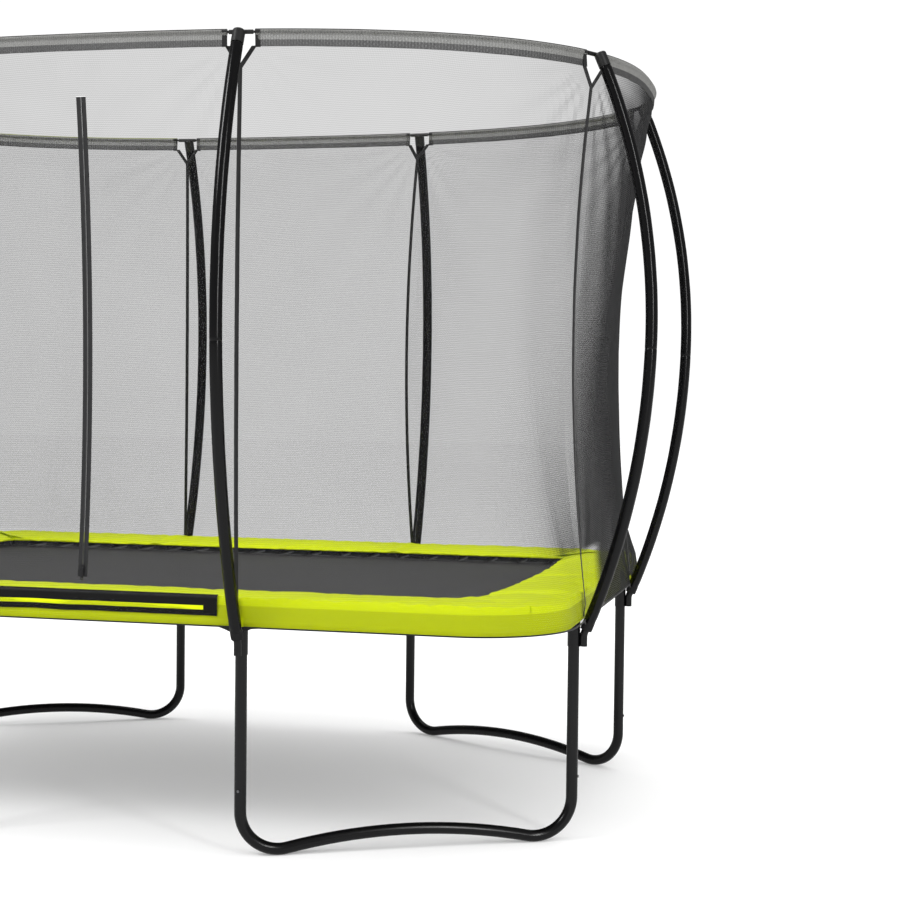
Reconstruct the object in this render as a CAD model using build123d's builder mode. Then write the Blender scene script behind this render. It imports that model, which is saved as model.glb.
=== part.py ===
from build123d import *
import os
from math import asin, atan2, cos, degrees, hypot, pi, radians, sin, sqrt

# Backyard trampoline with eight curved enclosure poles, a ring-topped safety net and lime pads.
# Origin: on the ground under the middle of the frame. +X along the long side, +Z up, -Y the entry side.
# All sizes in millimetres.

# Frame ring
HALF_X = 1505.0
HALF_Y = 1050.0
CORNER_RADIUS = 280.0
FRAME_HEIGHT = 770.0
FRAME_OUTER = 21.0
FRAME_INNER = 19.5
RAIL_GAP = 4.0

# Leg stations along the sides, measured from the middle of each side
LONG_SIDE_STATION = 530.0
SHORT_SIDE_STATION = 555.0

# T sockets
SLEEVE_OUTER = 22.8
SLEEVE_BORE = 21.2
SLEEVE_HALF_LENGTH = 60.0
STUB_OUTER = 21.0
STUB_BORE = 19.2
STUB_BOTTOM = 642.0
STUB_BORE_TOP = 744.0
SPIGOT_OFFSET = 32.5
SPIGOT_OUTER = 12.5
SPIGOT_INNER = 11.0
SPIGOT_TOP = 800.0
SPIGOT_BEND_RADIUS = 40.0

# Legs
LEG_OUTER = 19.0
LEG_INNER = 17.5
LEG_JOINT_HEIGHT = 194.5
LEG_TOP = 740.0
NECK_OUTER = 17.3
NECK_INNER = 15.8
NECK_LENGTH = 60.0
BASE_BEND_RADIUS = 125.0
BASE_ARCH_RISE = 44.0

# Poles: a large arc below the belly and a tighter arc above it, both in a plane square to the side
POLE_BELLY_OFFSET = 240.0
POLE_BELLY_HEIGHT = 1700.0
LOWER_ARC_RADIUS = 2600.0
UPPER_ARC_RADIUS = 2205.0
POLE_BOTTOM = 705.0
POLE_JOINT = 1620.0
POLE_TOP = 2556.0
POLE_OUTER = 14.0
POLE_INNER = 12.7
POLE_NECK_OUTER = 12.5
POLE_NECK_INNER = 11.2
PADDING_OUTER = 20.0
PADDING_INNER = 14.2
PADDING_TOP = 2532.0

# Pole caps and the ring they hold
CAP_RADIUS = 20.0
CAP_SKIRT = 24.0
CAP_RISE = 25.0
CAP_DOME = 8.0
CAP_ARM_RADIUS = 7.0
CAP_ARM_LENGTH = 38.0
ARM_TURN = 0.01
RING_HEIGHT = 2574.0
RING_HALF_X = 1660.0
RING_HALF_Y = 1125.0
RING_EXPONENT = 2.55
ROD_RADIUS = 4.0
ROD_BORE = 4.8
ROD_END_GAP = 14.0
HEM_END_GAP = 42.0
HEM_BOTTOM = 2530.0
HEM_TOP = 2582.0
HEM_THICKNESS = 3.0
TUNNEL_THICKNESS = 14.0
TUNNEL_BOTTOM = 2566.0

# Safety net
NET_BOTTOM = 731.0
NET_TOP = 2528.0
NET_CURVE_BOTTOM = 722.0
NET_SHAPE_BOTTOM = 832.0
NET_SHAPE_TOP = 2560.0
NET_LEVELS = (731.0, 776.0, 832.0, 900.0, 1000.0, 1150.0, 1350.0, 1600.0, 1850.0, 2100.0, 2300.0, 2430.0, 2528.0)
NET_BOTTOM_OFFSET = 43.0
NET_THICKNESS = 1.5
NET_PULL = 65.0
SIDE_EXTRA_PULL = 12.0
CORNER_EXTRA_PULL = 140.0
SEAM_GAP = 1.0

# Straps down the net and the V at the top of each
STRAP_HALF_WIDTH = 6.5
STRAP_BOTTOM = 790.0
V_FOOT = 2466.0
V_CROTCH = 2480.0
V_OUTER = 50.0
V_INNER = 34.0
V_GAP = 3.0
STRAP_BLANK_HALF_WIDTH = 70.0
STRAP_CUT_DEPTH = 200.0

# Door zip in the middle of the front net
ZIP_BOTTOM = 870.0
ZIP_TOP = 2390.0
ZIP_TAPE_HALF_WIDTH = 16.0
ZIP_TEETH_HALF_WIDTH = 3.0
ZIP_SLIT = 1.0
TAPE_HALF_DEPTH = 0.6
TEETH_HALF_DEPTH = 1.6
SLIDER_LOW = ZIP_BOTTOM + 12
SLIDER_HIGH = SLIDER_LOW + 26
SLIDER_HALF_WIDTH = 6.5
SLIDER_HALF_DEPTH = 4.0
SLIDER_CLEARANCE = 0.5
POST_HALF_WIDTH = 0.7
LUG_HALF_WIDTH = 1.2
LUG_HEIGHT = 5.0
LUG_DEPTH = 5.2
PULL_PIN_OUT = 6.3
PULL_PIN_HEIGHT = SLIDER_HIGH - 9
PULL_PIN_RADIUS = 1.0
PULL_HOLE_RADIUS = 1.05
PULL_EYE_RADIUS = 1.95
PULL_FINGER_HOLE = 2.6
PULL_HALF_WIDTH = 4.5
PULL_THICKNESS = 1.6
PULL_LENGTH = 42.0
PULL_END = 2.0

# Mat and springs
MAT_HALF_X = 1280.0
MAT_HALF_Y = 825.0
MAT_CORNER = 100.0
MAT_LEVEL = 770.0
MAT_THICKNESS = 3.0
MAT_HEM_THICKNESS = 7.0
MAT_HEM_WIDTH = 40.0
SPRING_PITCH = 130.0
LONG_SIDE_SPRINGS = 19
SHORT_SIDE_SPRINGS = 12
CORNER_SPRING_ANGLES = (25.0, 45.0, 65.0)
SPRING_OUTER = 10.0
SPRING_INNER = 6.8
SPRING_WIRE = 1.6
SPRING_HOLE = 3.5
SPRING_END = 3.0
SPRING_FRAME_GAP = 14.0
SPRING_RING_GAP = 12.0
HOOK_RADIUS = 6.0
FRAME_HOOK_DEPTH = 13.0
FRAME_HOOK_RISE = 9.0
V_RING_WIRE = 2.0
V_RING_REACH = 36.0
V_RING_SEAT = 8.0
V_RING_HALF_BASE = 16.0
V_RING_BEND = 5.0

# Pads
PAD_OUTER_OFFSET = 27.5
PAD_WIDTH = 311.0
PAD_OUTER_TOP = 824.0
PAD_INNER_TOP = 807.0
PAD_BOTTOM = 797.0
PAD_DROP_BOTTOM = 733.0
PAD_DROP_THICKNESS = 3.5
PAD_EDGE_ROUND = 10.0
PAD_JOINT_GAP = 1.0
POLE_NOTCH_HALF_WIDTH = 27.0

# Screws
SCREW_SHANK = 2.4
SCREW_HEAD = 4.6
SCREW_HEAD_HEIGHT = 3.0
SCREW_LENGTH = 9.0
BASE_SCREW_HEIGHT = 212.0
SOCKET_SCREW_HEIGHT = 700.0

os.makedirs("parts", exist_ok=True)


def save(builder, name):
    builder.part.label = name
    export_step(builder.part, "parts/" + name + ".step")


# One node that holds several separate solids.
def save_group(solids, name):
    group = Compound(label=name, children=solids)
    export_step(group, "parts/" + name + ".step")


# Each station is a plane on the ground under a leg: local x points away from the trampoline,
# local y runs along the side, local z is up.
def station(x, y, outward):
    return Plane(origin=(x, y, 0), x_dir=outward, z_dir=(0, 0, 1))


LONG_OUT = {"front": (0, -1, 0), "rear": (0, 1, 0)}
SHORT_OUT = {"left": (-1, 0, 0), "right": (1, 0, 0)}
SIGN = {"front": -1, "rear": 1, "left": -1, "right": 1}

STATIONS = {}
for across, outward in LONG_OUT.items():
    for along in ("left", "right"):
        STATIONS[across + "_" + along] = station(
            SIGN[along] * LONG_SIDE_STATION, SIGN[across] * HALF_Y, outward
        )
for across, outward in SHORT_OUT.items():
    for along in ("front", "rear"):
        STATIONS[across + "_" + along] = station(
            SIGN[across] * HALF_X, SIGN[along] * SHORT_SIDE_STATION, outward
        )


# The upright plane through a station, square to its side: local x outward, local y up.
def upright_plane(place):
    return Plane(origin=place.origin, x_dir=place.x_dir, z_dir=-place.y_dir)


# The upright plane that faces out of a station: local x along the side, local y up, local z outward.
def facing_plane(place):
    return Plane(origin=place.origin, x_dir=place.y_dir, z_dir=place.x_dir)


# An arc of the pole curve between two heights, inside a BuildLine.
def pole_arc(radius, low, high):
    start = degrees(asin((low - POLE_BELLY_HEIGHT) / radius))
    end = degrees(asin((high - POLE_BELLY_HEIGHT) / radius))
    centre = (POLE_BELLY_OFFSET - radius, POLE_BELLY_HEIGHT)
    return CenterArc(centre, radius, start, end - start)


def pole_offset(height):
    radius = LOWER_ARC_RADIUS if height < POLE_BELLY_HEIGHT else UPPER_ARC_RADIUS
    return POLE_BELLY_OFFSET - radius + sqrt(radius**2 - (height - POLE_BELLY_HEIGHT) ** 2)


# The tube section that is swept along a path, placed square to its start.
def tube_section(path, outer, inner):
    with BuildSketch(Plane(origin=path @ 0, z_dir=path % 0)) as section:
        Circle(outer)
        Circle(inner, mode=Mode.SUBTRACT)
    return section.sketch


# ---------------------------------------------------------------- frame ring


# Where the springs run: pairs of points in plan, on the ring tube's axis and on the mat's edge.
def spring_runs():
    runs = []
    for sign in (-1, 1):
        for index in range(LONG_SIDE_SPRINGS):
            x = (index - (LONG_SIDE_SPRINGS - 1) / 2) * SPRING_PITCH
            runs.append((Vector(x, sign * HALF_Y), Vector(x, sign * MAT_HALF_Y)))
        for index in range(SHORT_SIDE_SPRINGS):
            y = (index - (SHORT_SIDE_SPRINGS - 1) / 2) * SPRING_PITCH
            runs.append((Vector(sign * HALF_X, y), Vector(sign * MAT_HALF_X, y)))
    for sign_x in (-1, 1):
        for sign_y in (-1, 1):
            for angle in CORNER_SPRING_ANGLES:
                ray = Vector(sign_x * cos(radians(angle)), sign_y * sin(radians(angle)))
                ring_centre = Vector(sign_x * (HALF_X - CORNER_RADIUS), sign_y * (HALF_Y - CORNER_RADIUS))
                mat_centre = Vector(sign_x * (MAT_HALF_X - MAT_CORNER), sign_y * (MAT_HALF_Y - MAT_CORNER))
                runs.append((ring_centre + ray * CORNER_RADIUS, mat_centre + ray * MAT_CORNER))
    return runs


RUNS = spring_runs()


# A plane at one end of a spring run: local z points along the spring towards the mat, local x up.
def run_plane(run, at_mat):
    spot = run[1] if at_mat else run[0]
    return Plane(origin=spot + Vector(0, 0, FRAME_HEIGHT), x_dir=(0, 0, 1), z_dir=run[1] - run[0])


def drill_spring_holes(runs):
    for run in runs:
        with BuildSketch(run_plane(run, False)) as hole:
            Circle(SPRING_HOLE)
        extrude(hole.sketch, amount=FRAME_OUTER + 2, mode=Mode.SUBTRACT)


for across in ("front", "rear"):
    half_length = LONG_SIDE_STATION - RAIL_GAP / 2
    with BuildPart() as rail:
        with BuildSketch(Plane(origin=(-half_length, SIGN[across] * HALF_Y, FRAME_HEIGHT), z_dir=(1, 0, 0))):
            Circle(FRAME_OUTER)
            Circle(FRAME_INNER, mode=Mode.SUBTRACT)
        extrude(amount=2 * half_length)
        drill_spring_holes([r for r in RUNS if abs(r[0].X) < half_length and r[0].Y * SIGN[across] > HALF_Y - 1])
    save(rail, "frame_rail_" + across)

for across in ("left", "right"):
    half_length = SHORT_SIDE_STATION - RAIL_GAP / 2
    with BuildPart() as rail:
        with BuildSketch(Plane(origin=(SIGN[across] * HALF_X, -half_length, FRAME_HEIGHT), z_dir=(0, 1, 0))):
            Circle(FRAME_OUTER)
            Circle(FRAME_INNER, mode=Mode.SUBTRACT)
        extrude(amount=2 * half_length)
        drill_spring_holes([r for r in RUNS if abs(r[0].Y) < half_length and r[0].X * SIGN[across] > HALF_X - 1])
    save(rail, "frame_rail_" + across)


def in_corner(run, sign_x, sign_y):
    return sign_x * run[0].X > LONG_SIDE_STATION and sign_y * run[0].Y > SHORT_SIDE_STATION


for across in ("front", "rear"):
    for along in ("left", "right"):
        sign_x = SIGN[along]
        sign_y = SIGN[across]
        with BuildPart() as corner:
            with BuildLine(Plane.XY.offset(FRAME_HEIGHT)) as path:
                FilletPolyline(
                    (sign_x * (LONG_SIDE_STATION + RAIL_GAP / 2), sign_y * HALF_Y),
                    (sign_x * HALF_X, sign_y * HALF_Y),
                    (sign_x * HALF_X, sign_y * (SHORT_SIDE_STATION + RAIL_GAP / 2)),
                    radius=CORNER_RADIUS,
                )
            sweep(sections=tube_section(path.line, FRAME_OUTER, FRAME_INNER))
            drill_spring_holes([run for run in RUNS if in_corner(run, sign_x, sign_y)])
        save(corner, "frame_corner_" + across + "_" + along)

# ---------------------------------------------------------------- T sockets, legs and poles

for name, place in STATIONS.items():
    upright = upright_plane(place)

    # T socket: a sleeve that joins two ring tubes, a stub for the leg and a spigot for the pole.
    with BuildPart() as socket:
        with BuildSketch(upright.offset(-SLEEVE_HALF_LENGTH)):
            with Locations((0, FRAME_HEIGHT)):
                Circle(SLEEVE_OUTER)
        extrude(amount=2 * SLEEVE_HALF_LENGTH)
        with BuildSketch(place.offset(STUB_BOTTOM)):
            Circle(STUB_OUTER)
        extrude(amount=FRAME_HEIGHT - STUB_BOTTOM)
        spigot_start = pole_offset(POLE_BOTTOM)
        slope = (POLE_BELLY_HEIGHT - POLE_BOTTOM) / LOWER_ARC_RADIUS
        with BuildLine(upright) as spigot_path:
            pole_arc(LOWER_ARC_RADIUS, POLE_BOTTOM, SPIGOT_TOP)
            lean = Vector(slope, sqrt(1 - slope**2))
            knee = Vector(spigot_start, POLE_BOTTOM) - lean * ((spigot_start - SPIGOT_OFFSET) / slope)
            FilletPolyline(
                (SPIGOT_OFFSET, STUB_BOTTOM + 1),
                (knee.X, knee.Y),
                (spigot_start, POLE_BOTTOM),
                radius=SPIGOT_BEND_RADIUS,
            )
        with BuildSketch(Plane(origin=spigot_path.line @ 0, z_dir=spigot_path.line % 0)):
            Circle(SPIGOT_OUTER)
        sweep()
        with BuildSketch(place.offset(STUB_BOTTOM)):
            Circle(STUB_BORE)
        extrude(amount=STUB_BORE_TOP - STUB_BOTTOM, mode=Mode.SUBTRACT)
        with BuildSketch(upright.offset(-SLEEVE_HALF_LENGTH)):
            with Locations((0, FRAME_HEIGHT)):
                Circle(SLEEVE_BORE)
        extrude(amount=2 * SLEEVE_HALF_LENGTH, mode=Mode.SUBTRACT)
        with BuildSketch(Plane(origin=spigot_path.line @ 0, z_dir=spigot_path.line % 0)):
            Circle(SPIGOT_INNER)
        sweep(path=spigot_path.wires()[0], mode=Mode.SUBTRACT)
        with BuildSketch(facing_plane(place).offset(-STUB_OUTER - 1)):
            with Locations((0, SOCKET_SCREW_HEIGHT)):
                Circle(SCREW_SHANK + 0.1)
        extrude(amount=STUB_OUTER - STUB_BORE + 3, mode=Mode.SUBTRACT)
        drill_spring_holes([run for run in RUNS if (run[0] - place.origin).length < SLEEVE_HALF_LENGTH])
    save(socket, "t_socket_" + name)

    # Leg upright, drilled for its socket screw inside and its base screw outside.
    with BuildPart() as leg:
        with BuildSketch(place.offset(LEG_JOINT_HEIGHT)):
            Circle(LEG_OUTER)
            Circle(LEG_INNER, mode=Mode.SUBTRACT)
        extrude(amount=LEG_TOP - LEG_JOINT_HEIGHT)
        with BuildSketch(facing_plane(place).offset(-LEG_OUTER - 1)):
            with Locations((0, SOCKET_SCREW_HEIGHT)):
                Circle(SCREW_SHANK + 0.1)
        extrude(amount=LEG_OUTER, mode=Mode.SUBTRACT)
        with BuildSketch(facing_plane(place)):
            with Locations((0, BASE_SCREW_HEIGHT)):
                Circle(SCREW_SHANK + 0.1)
        extrude(amount=LEG_OUTER + 1, mode=Mode.SUBTRACT)
    save(leg, "leg_upright_" + name)

    # Lower half of the pole, with a drawn-down neck at its top.
    with BuildPart() as lower:
        with BuildLine(upright) as path:
            pole_arc(LOWER_ARC_RADIUS, POLE_BOTTOM, POLE_JOINT)
        sweep(sections=tube_section(path.line, POLE_OUTER, POLE_INNER))
        with BuildLine(upright) as path:
            pole_arc(LOWER_ARC_RADIUS, POLE_JOINT - 8, POLE_JOINT)
        sweep(sections=tube_section(path.line, POLE_OUTER, POLE_NECK_INNER))
        with BuildLine(upright) as path:
            pole_arc(LOWER_ARC_RADIUS, POLE_JOINT - 8, POLE_JOINT + NECK_LENGTH)
        sweep(sections=tube_section(path.line, POLE_NECK_OUTER, POLE_NECK_INNER))
    save(lower, "pole_lower_" + name)

    # Upper half of the pole.
    with BuildPart() as higher:
        with BuildLine(upright) as path:
            pole_arc(LOWER_ARC_RADIUS, POLE_JOINT + 0.5, POLE_BELLY_HEIGHT)
            pole_arc(UPPER_ARC_RADIUS, POLE_BELLY_HEIGHT, POLE_TOP)
        sweep(sections=tube_section(path.line, POLE_OUTER, POLE_INNER))
    save(higher, "pole_upper_" + name)

# Padded sleeves on both halves of every pole
padding = []
for place in STATIONS.values():
    with BuildPart() as lower_pad:
        with BuildLine(upright_plane(place)) as path:
            pole_arc(LOWER_ARC_RADIUS, POLE_BOTTOM, POLE_JOINT)
        sweep(sections=tube_section(path.line, PADDING_OUTER, PADDING_INNER))
    with BuildPart() as upper_pad:
        with BuildLine(upright_plane(place)) as path:
            pole_arc(LOWER_ARC_RADIUS, POLE_JOINT + 1.5, POLE_BELLY_HEIGHT)
            pole_arc(UPPER_ARC_RADIUS, POLE_BELLY_HEIGHT, PADDING_TOP)
        sweep(sections=tube_section(path.line, PADDING_OUTER, PADDING_INNER))
    padding += [lower_pad.part, upper_pad.part]
save_group(padding, "pole_padding")

# W-shaped leg bases, each running diagonally between a long-side leg and a short-side leg
for across in ("front", "rear"):
    for along in ("left", "right"):
        start = STATIONS[across + "_" + along].origin
        end = STATIONS[along + "_" + across].origin
        run = end - start
        span = run.length
        side = Plane(origin=start, x_dir=run, z_dir=run.cross(Vector(0, 0, 1)))
        reach = span / 2 - BASE_BEND_RADIUS
        swing = 2 * atan2(BASE_ARCH_RISE, reach)
        arch_radius = reach / sin(swing) - BASE_BEND_RADIUS
        quarter = 90 + degrees(swing)
        drop = LEG_OUTER + BASE_BEND_RADIUS
        with BuildPart() as base:
            with BuildLine(side) as path:
                first = Line((0, LEG_JOINT_HEIGHT), (0, drop))
                bend = JernArc(first @ 1, first % 1, BASE_BEND_RADIUS, quarter)
                arch = JernArc(bend @ 1, bend % 1, arch_radius, -2 * degrees(swing))
                rebend = JernArc(arch @ 1, arch % 1, BASE_BEND_RADIUS, quarter)
                Line(rebend @ 1, (span, LEG_JOINT_HEIGHT))
            sweep(sections=tube_section(path.line, LEG_OUTER, LEG_INNER))
            for foot in (start, end):
                with BuildSketch(Plane(origin=foot).offset(LEG_JOINT_HEIGHT - 8)):
                    Circle(LEG_OUTER)
                    Circle(NECK_INNER, mode=Mode.SUBTRACT)
                extrude(amount=8)
                with BuildSketch(Plane(origin=foot).offset(LEG_JOINT_HEIGHT - 8)):
                    Circle(NECK_OUTER)
                    Circle(NECK_INNER, mode=Mode.SUBTRACT)
                extrude(amount=NECK_LENGTH + 8)
            for key in (across + "_" + along, along + "_" + across):
                with BuildSketch(facing_plane(STATIONS[key])):
                    with Locations((0, BASE_SCREW_HEIGHT)):
                        Circle(SCREW_SHANK + 0.1)
                extrude(amount=LEG_OUTER, mode=Mode.SUBTRACT)
        save(base, "leg_base_" + across + "_" + along)

# Self-tapping screws: one from inside at each socket, one from outside at each base joint
screws = []
for place in STATIONS.values():
    for height, surface, direction in ((SOCKET_SCREW_HEIGHT, STUB_OUTER, -1), (BASE_SCREW_HEIGHT, LEG_OUTER, 1)):
        outward = place.x_dir * direction
        seat = Plane(origin=place.origin + outward * (surface + 0.2) + Vector(0, 0, height), z_dir=outward)
        with BuildPart() as screw:
            with BuildSketch(seat):
                RegularPolygon(SCREW_HEAD, 6)
            extrude(amount=SCREW_HEAD_HEIGHT)
            with BuildSketch(seat):
                Circle(SCREW_SHANK)
            extrude(amount=-SCREW_LENGTH)
        screws.append(screw.part)
save_group(screws, "frame_screws")

# ---------------------------------------------------------------- ring and net


# Radius of a rounded rectangle along a direction.
def rounded_rectangle_radius(angle, half_x, half_y, corner):
    across = abs(cos(angle))
    along = abs(sin(angle))
    if half_x * along < (half_y - corner) * across:
        return half_x / across
    if half_y * across < (half_x - corner) * along:
        return half_y / along
    centre_x = half_x - corner
    centre_y = half_y - corner
    middle = centre_x * across + centre_y * along
    return middle + sqrt(middle**2 - centre_x**2 - centre_y**2 + corner**2)


# Radius of the oval ring along a direction.
def ring_radius(angle):
    across = abs(cos(angle)) / RING_HALF_X
    along = abs(sin(angle)) / RING_HALF_Y
    return (across**RING_EXPONENT + along**RING_EXPONENT) ** (-1 / RING_EXPONENT)


SHORT_STRAP_ANGLE = atan2(SHORT_SIDE_STATION, HALF_X + NET_BOTTOM_OFFSET)
LONG_STRAP_ANGLE = atan2(HALF_Y + NET_BOTTOM_OFFSET, LONG_SIDE_STATION)


# How far the tight net is drawn in at mid height beyond the straps: most across the corners.
def extra_pull(angle):
    quarter = atan2(abs(sin(angle)), abs(cos(angle)))
    if quarter < SHORT_STRAP_ANGLE:
        return SIDE_EXTRA_PULL * cos(pi / 2 * quarter / SHORT_STRAP_ANGLE)
    if quarter > LONG_STRAP_ANGLE:
        return 0
    share = (quarter - SHORT_STRAP_ANGLE) / (LONG_STRAP_ANGLE - SHORT_STRAP_ANGLE)
    return CORNER_EXTRA_PULL * sin(pi * share)


# A point of the net: its plan shape keeps the frame's rounded rectangle beside the pads
# and then runs up to the ring's oval.
def net_point(angle, height, inset):
    rise = (height - NET_CURVE_BOTTOM) / (NET_SHAPE_TOP - NET_CURVE_BOTTOM)
    climb = max(0, (height - NET_SHAPE_BOTTOM) / (NET_SHAPE_TOP - NET_SHAPE_BOTTOM))
    frame_radius = rounded_rectangle_radius(
        angle, HALF_X + NET_BOTTOM_OFFSET, HALF_Y + NET_BOTTOM_OFFSET, CORNER_RADIUS + NET_BOTTOM_OFFSET
    )
    radius = frame_radius + (ring_radius(angle) - frame_radius) * climb
    radius -= 4 * rise * (1 - rise) * NET_PULL + 4 * climb * (1 - climb) * extra_pull(angle) + inset
    return (radius * cos(angle), radius * sin(angle))


# A thin curved sheet of the net between two directions, for use in a BuildPart.
def net_sheet(start, end, heights, points):
    sections = []
    for height in heights:
        angles = [start + (end - start) * index / (points - 1) for index in range(points)]
        outside = [net_point(angle, height, -NET_THICKNESS / 2) for angle in angles]
        inside = [net_point(angle, height, NET_THICKNESS / 2) for angle in reversed(angles)]
        with BuildSketch(Plane.XY.offset(height)) as section:
            with BuildLine():
                Spline(*outside)
                Line(outside[-1], inside[0])
                Spline(*inside)
                Line(inside[-1], outside[0])
            make_face()
        sections.append(section.sketch)
    loft(sections, ruled=True)


# Strap angles in order around the net, and the stations they belong to
def strap_angle(place):
    foot = place.origin + place.x_dir * NET_BOTTOM_OFFSET
    return atan2(foot.Y, foot.X) % (2 * pi)


ROUND = sorted(STATIONS.values(), key=strap_angle)
SPANS = list(zip(ROUND, ROUND[1:] + ROUND[:1]))


def span_angles(first, last):
    start = strap_angle(first)
    end = strap_angle(last)
    return start, end if end > start else end + 2 * pi


# Maps (sideways distance from the strap's middle line, height) points onto a station's facing plane.
# The middle line runs straight up the net, so its sideways place shifts a little with height.
def beside_strap(place, points):
    mapped = []
    for sideways, height in points:
        x, y = net_point(strap_angle(place), height, 0)
        shift = (Vector(x, y) - place.origin).dot(place.y_dir)
        mapped.append((shift + sideways, height))
    return mapped


# The left and right edges of a band, from the bottom up and back down, with other points between them.
def band_outline(half_width, crown):
    heights = [STRAP_BOTTOM] + [height for height in NET_LEVELS if STRAP_BOTTOM < height < V_FOOT] + [V_FOOT]
    rising = [(half_width, height) for height in heights]
    falling = [(-half_width, height) for height in reversed(heights)]
    return rising + crown + falling


STRAP_OUTLINE = band_outline(
    STRAP_HALF_WIDTH,
    [(V_OUTER, NET_TOP), (V_INNER, NET_TOP), (0, V_CROTCH), (-V_INNER, NET_TOP), (-V_OUTER, NET_TOP)],
)
# Room for one strap in the net: the band, the V at its top and the notch that clears the pole foot
STRAP_ROOM = band_outline(
    STRAP_HALF_WIDTH + SEAM_GAP, [(V_OUTER + V_GAP, NET_TOP + 2), (-V_OUTER - V_GAP, NET_TOP + 2)]
) + [
    (-POLE_NOTCH_HALF_WIDTH, STRAP_BOTTOM),
    (-POLE_NOTCH_HALF_WIDTH, NET_BOTTOM - 5),
    (POLE_NOTCH_HALF_WIDTH, NET_BOTTOM - 5),
    (POLE_NOTCH_HALF_WIDTH, STRAP_BOTTOM),
]

# Net panels between the straps. The front panel has a slot for the door zip.
panels = []
for first, last in SPANS:
    start, end = span_angles(first, last)
    with BuildPart() as panel:
        net_sheet(start, end, NET_LEVELS, 13)
        for place in (first, last):
            with BuildSketch(facing_plane(place).offset(-STRAP_CUT_DEPTH)):
                Polygon(*beside_strap(place, STRAP_ROOM), align=None)
            extrude(amount=2 * STRAP_CUT_DEPTH, mode=Mode.SUBTRACT)
        if first.origin.Y < -1 and abs(first.origin.Y - last.origin.Y) < 1:
            with BuildSketch(Plane.XZ.offset(HALF_Y - STRAP_CUT_DEPTH)):
                with Locations((0, (ZIP_BOTTOM + ZIP_TOP) / 2)):
                    Rectangle(2 * ZIP_TAPE_HALF_WIDTH + 2 * SEAM_GAP, ZIP_TOP - ZIP_BOTTOM + 4)
            extrude(amount=2 * STRAP_CUT_DEPTH, mode=Mode.SUBTRACT)
    panels.append(panel.part)


# Points of the ring between two directions, in a horizontal plane.
def ring_points(start, end, inset=0.0, points=15):
    angles = [start + (end - start) * index / (points - 1) for index in range(points)]
    radii = [ring_radius(angle) - inset for angle in angles]
    return [(radius * cos(angle), radius * sin(angle)) for radius, angle in zip(radii, angles)]


# The stretch of ring that starts and ends a set distance from two stations.
def ring_span(first, last, gap):
    start, end = span_angles(first, last)
    return start + gap / ring_radius(start), end - gap / ring_radius(end)


# An upright band that follows the ring, for use in a BuildPart.
def ring_band(start, end, thickness, low, high):
    outside = ring_points(start, end, -thickness / 2)
    inside = ring_points(end, start, thickness / 2)
    with BuildSketch(Plane.XY.offset(low)) as band:
        with BuildLine():
            Spline(*outside)
            Line(outside[-1], inside[0])
            Spline(*inside)
            Line(inside[-1], outside[0])
        make_face()
    extrude(band.sketch, amount=high - low)


# Sewn hems at the top of the net: a tunnel round each ring rod above a flat band
hems = []
for first, last in SPANS:
    start, end = ring_span(first, last, HEM_END_GAP)
    with BuildPart() as hem:
        ring_band(start, end, HEM_THICKNESS, HEM_BOTTOM, TUNNEL_BOTTOM)
        ring_band(start, end, TUNNEL_THICKNESS, TUNNEL_BOTTOM, HEM_TOP)
        with BuildLine(Plane.XY.offset(RING_HEIGHT)) as path:
            Spline(*ring_points(*ring_span(first, last, HEM_END_GAP / 2)))
        with BuildSketch(Plane(origin=path.line @ 0, z_dir=path.line % 0)):
            Circle(ROD_BORE)
        sweep(mode=Mode.SUBTRACT)
    hems.append(hem.part)
save_group(panels + hems, "safety_net")

rods = []
for first, last in SPANS:
    with BuildPart() as rod:
        with BuildLine(Plane.XY.offset(RING_HEIGHT)) as path:
            Spline(*ring_points(*ring_span(first, last, ROD_END_GAP)))
        with BuildSketch(Plane(origin=path.line @ 0, z_dir=path.line % 0)):
            Circle(ROD_RADIUS)
        sweep()
    rods.append(rod.part)
save_group(rods, "ring_rods")

# Webbing straps down the net at every pole, with a V at the top
straps = []
for place in ROUND:
    middle = strap_angle(place)
    spread = STRAP_BLANK_HALF_WIDTH / hypot(place.origin.X, place.origin.Y)
    with BuildPart() as strap:
        net_sheet(middle - spread, middle + spread, NET_LEVELS[1:], 5)
        with BuildSketch(facing_plane(place).offset(-STRAP_CUT_DEPTH)):
            Polygon(*beside_strap(place, STRAP_OUTLINE), align=None)
        extrude(amount=2 * STRAP_CUT_DEPTH, mode=Mode.INTERSECT)
    straps.append(strap.part)
save_group(straps, "net_straps")

# Pole caps: a domed plug over each pole top with two arms that hold the ring rods
caps = []
for place in ROUND:
    with BuildLine(upright_plane(place)) as top:
        pole_arc(UPPER_ARC_RADIUS, POLE_BELLY_HEIGHT, POLE_TOP)
    seat = Plane(origin=top.line @ 1, z_dir=top.line % 1)
    angle = strap_angle(place)
    nearby = ring_points(angle - ARM_TURN, angle + ARM_TURN, points=3)
    before, centre, after = (Vector(x, y, RING_HEIGHT) for x, y in nearby)
    arms = Plane(origin=centre, z_dir=after - before)
    with BuildPart() as cap:
        with BuildSketch(seat.offset(-CAP_SKIRT)):
            Circle(CAP_RADIUS)
        extrude(amount=CAP_SKIRT + CAP_RISE)
        fillet(cap.edges().filter_by(GeomType.CIRCLE).sort_by(Axis.Z)[-1], CAP_DOME)
        with BuildSketch(arms):
            Circle(CAP_ARM_RADIUS)
        extrude(amount=CAP_ARM_LENGTH, both=True)
        for direction in (-1, 1):
            with BuildSketch(arms.offset(direction * (ROD_END_GAP - 3))):
                Circle(ROD_BORE + 0.5)
            extrude(amount=direction * CAP_ARM_LENGTH, mode=Mode.SUBTRACT)
        with BuildSketch(seat.offset(-CAP_SKIRT)):
            Circle(PADDING_INNER)
        extrude(amount=CAP_SKIRT + 0.5, mode=Mode.SUBTRACT)
    caps.append(cap.part)
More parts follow.
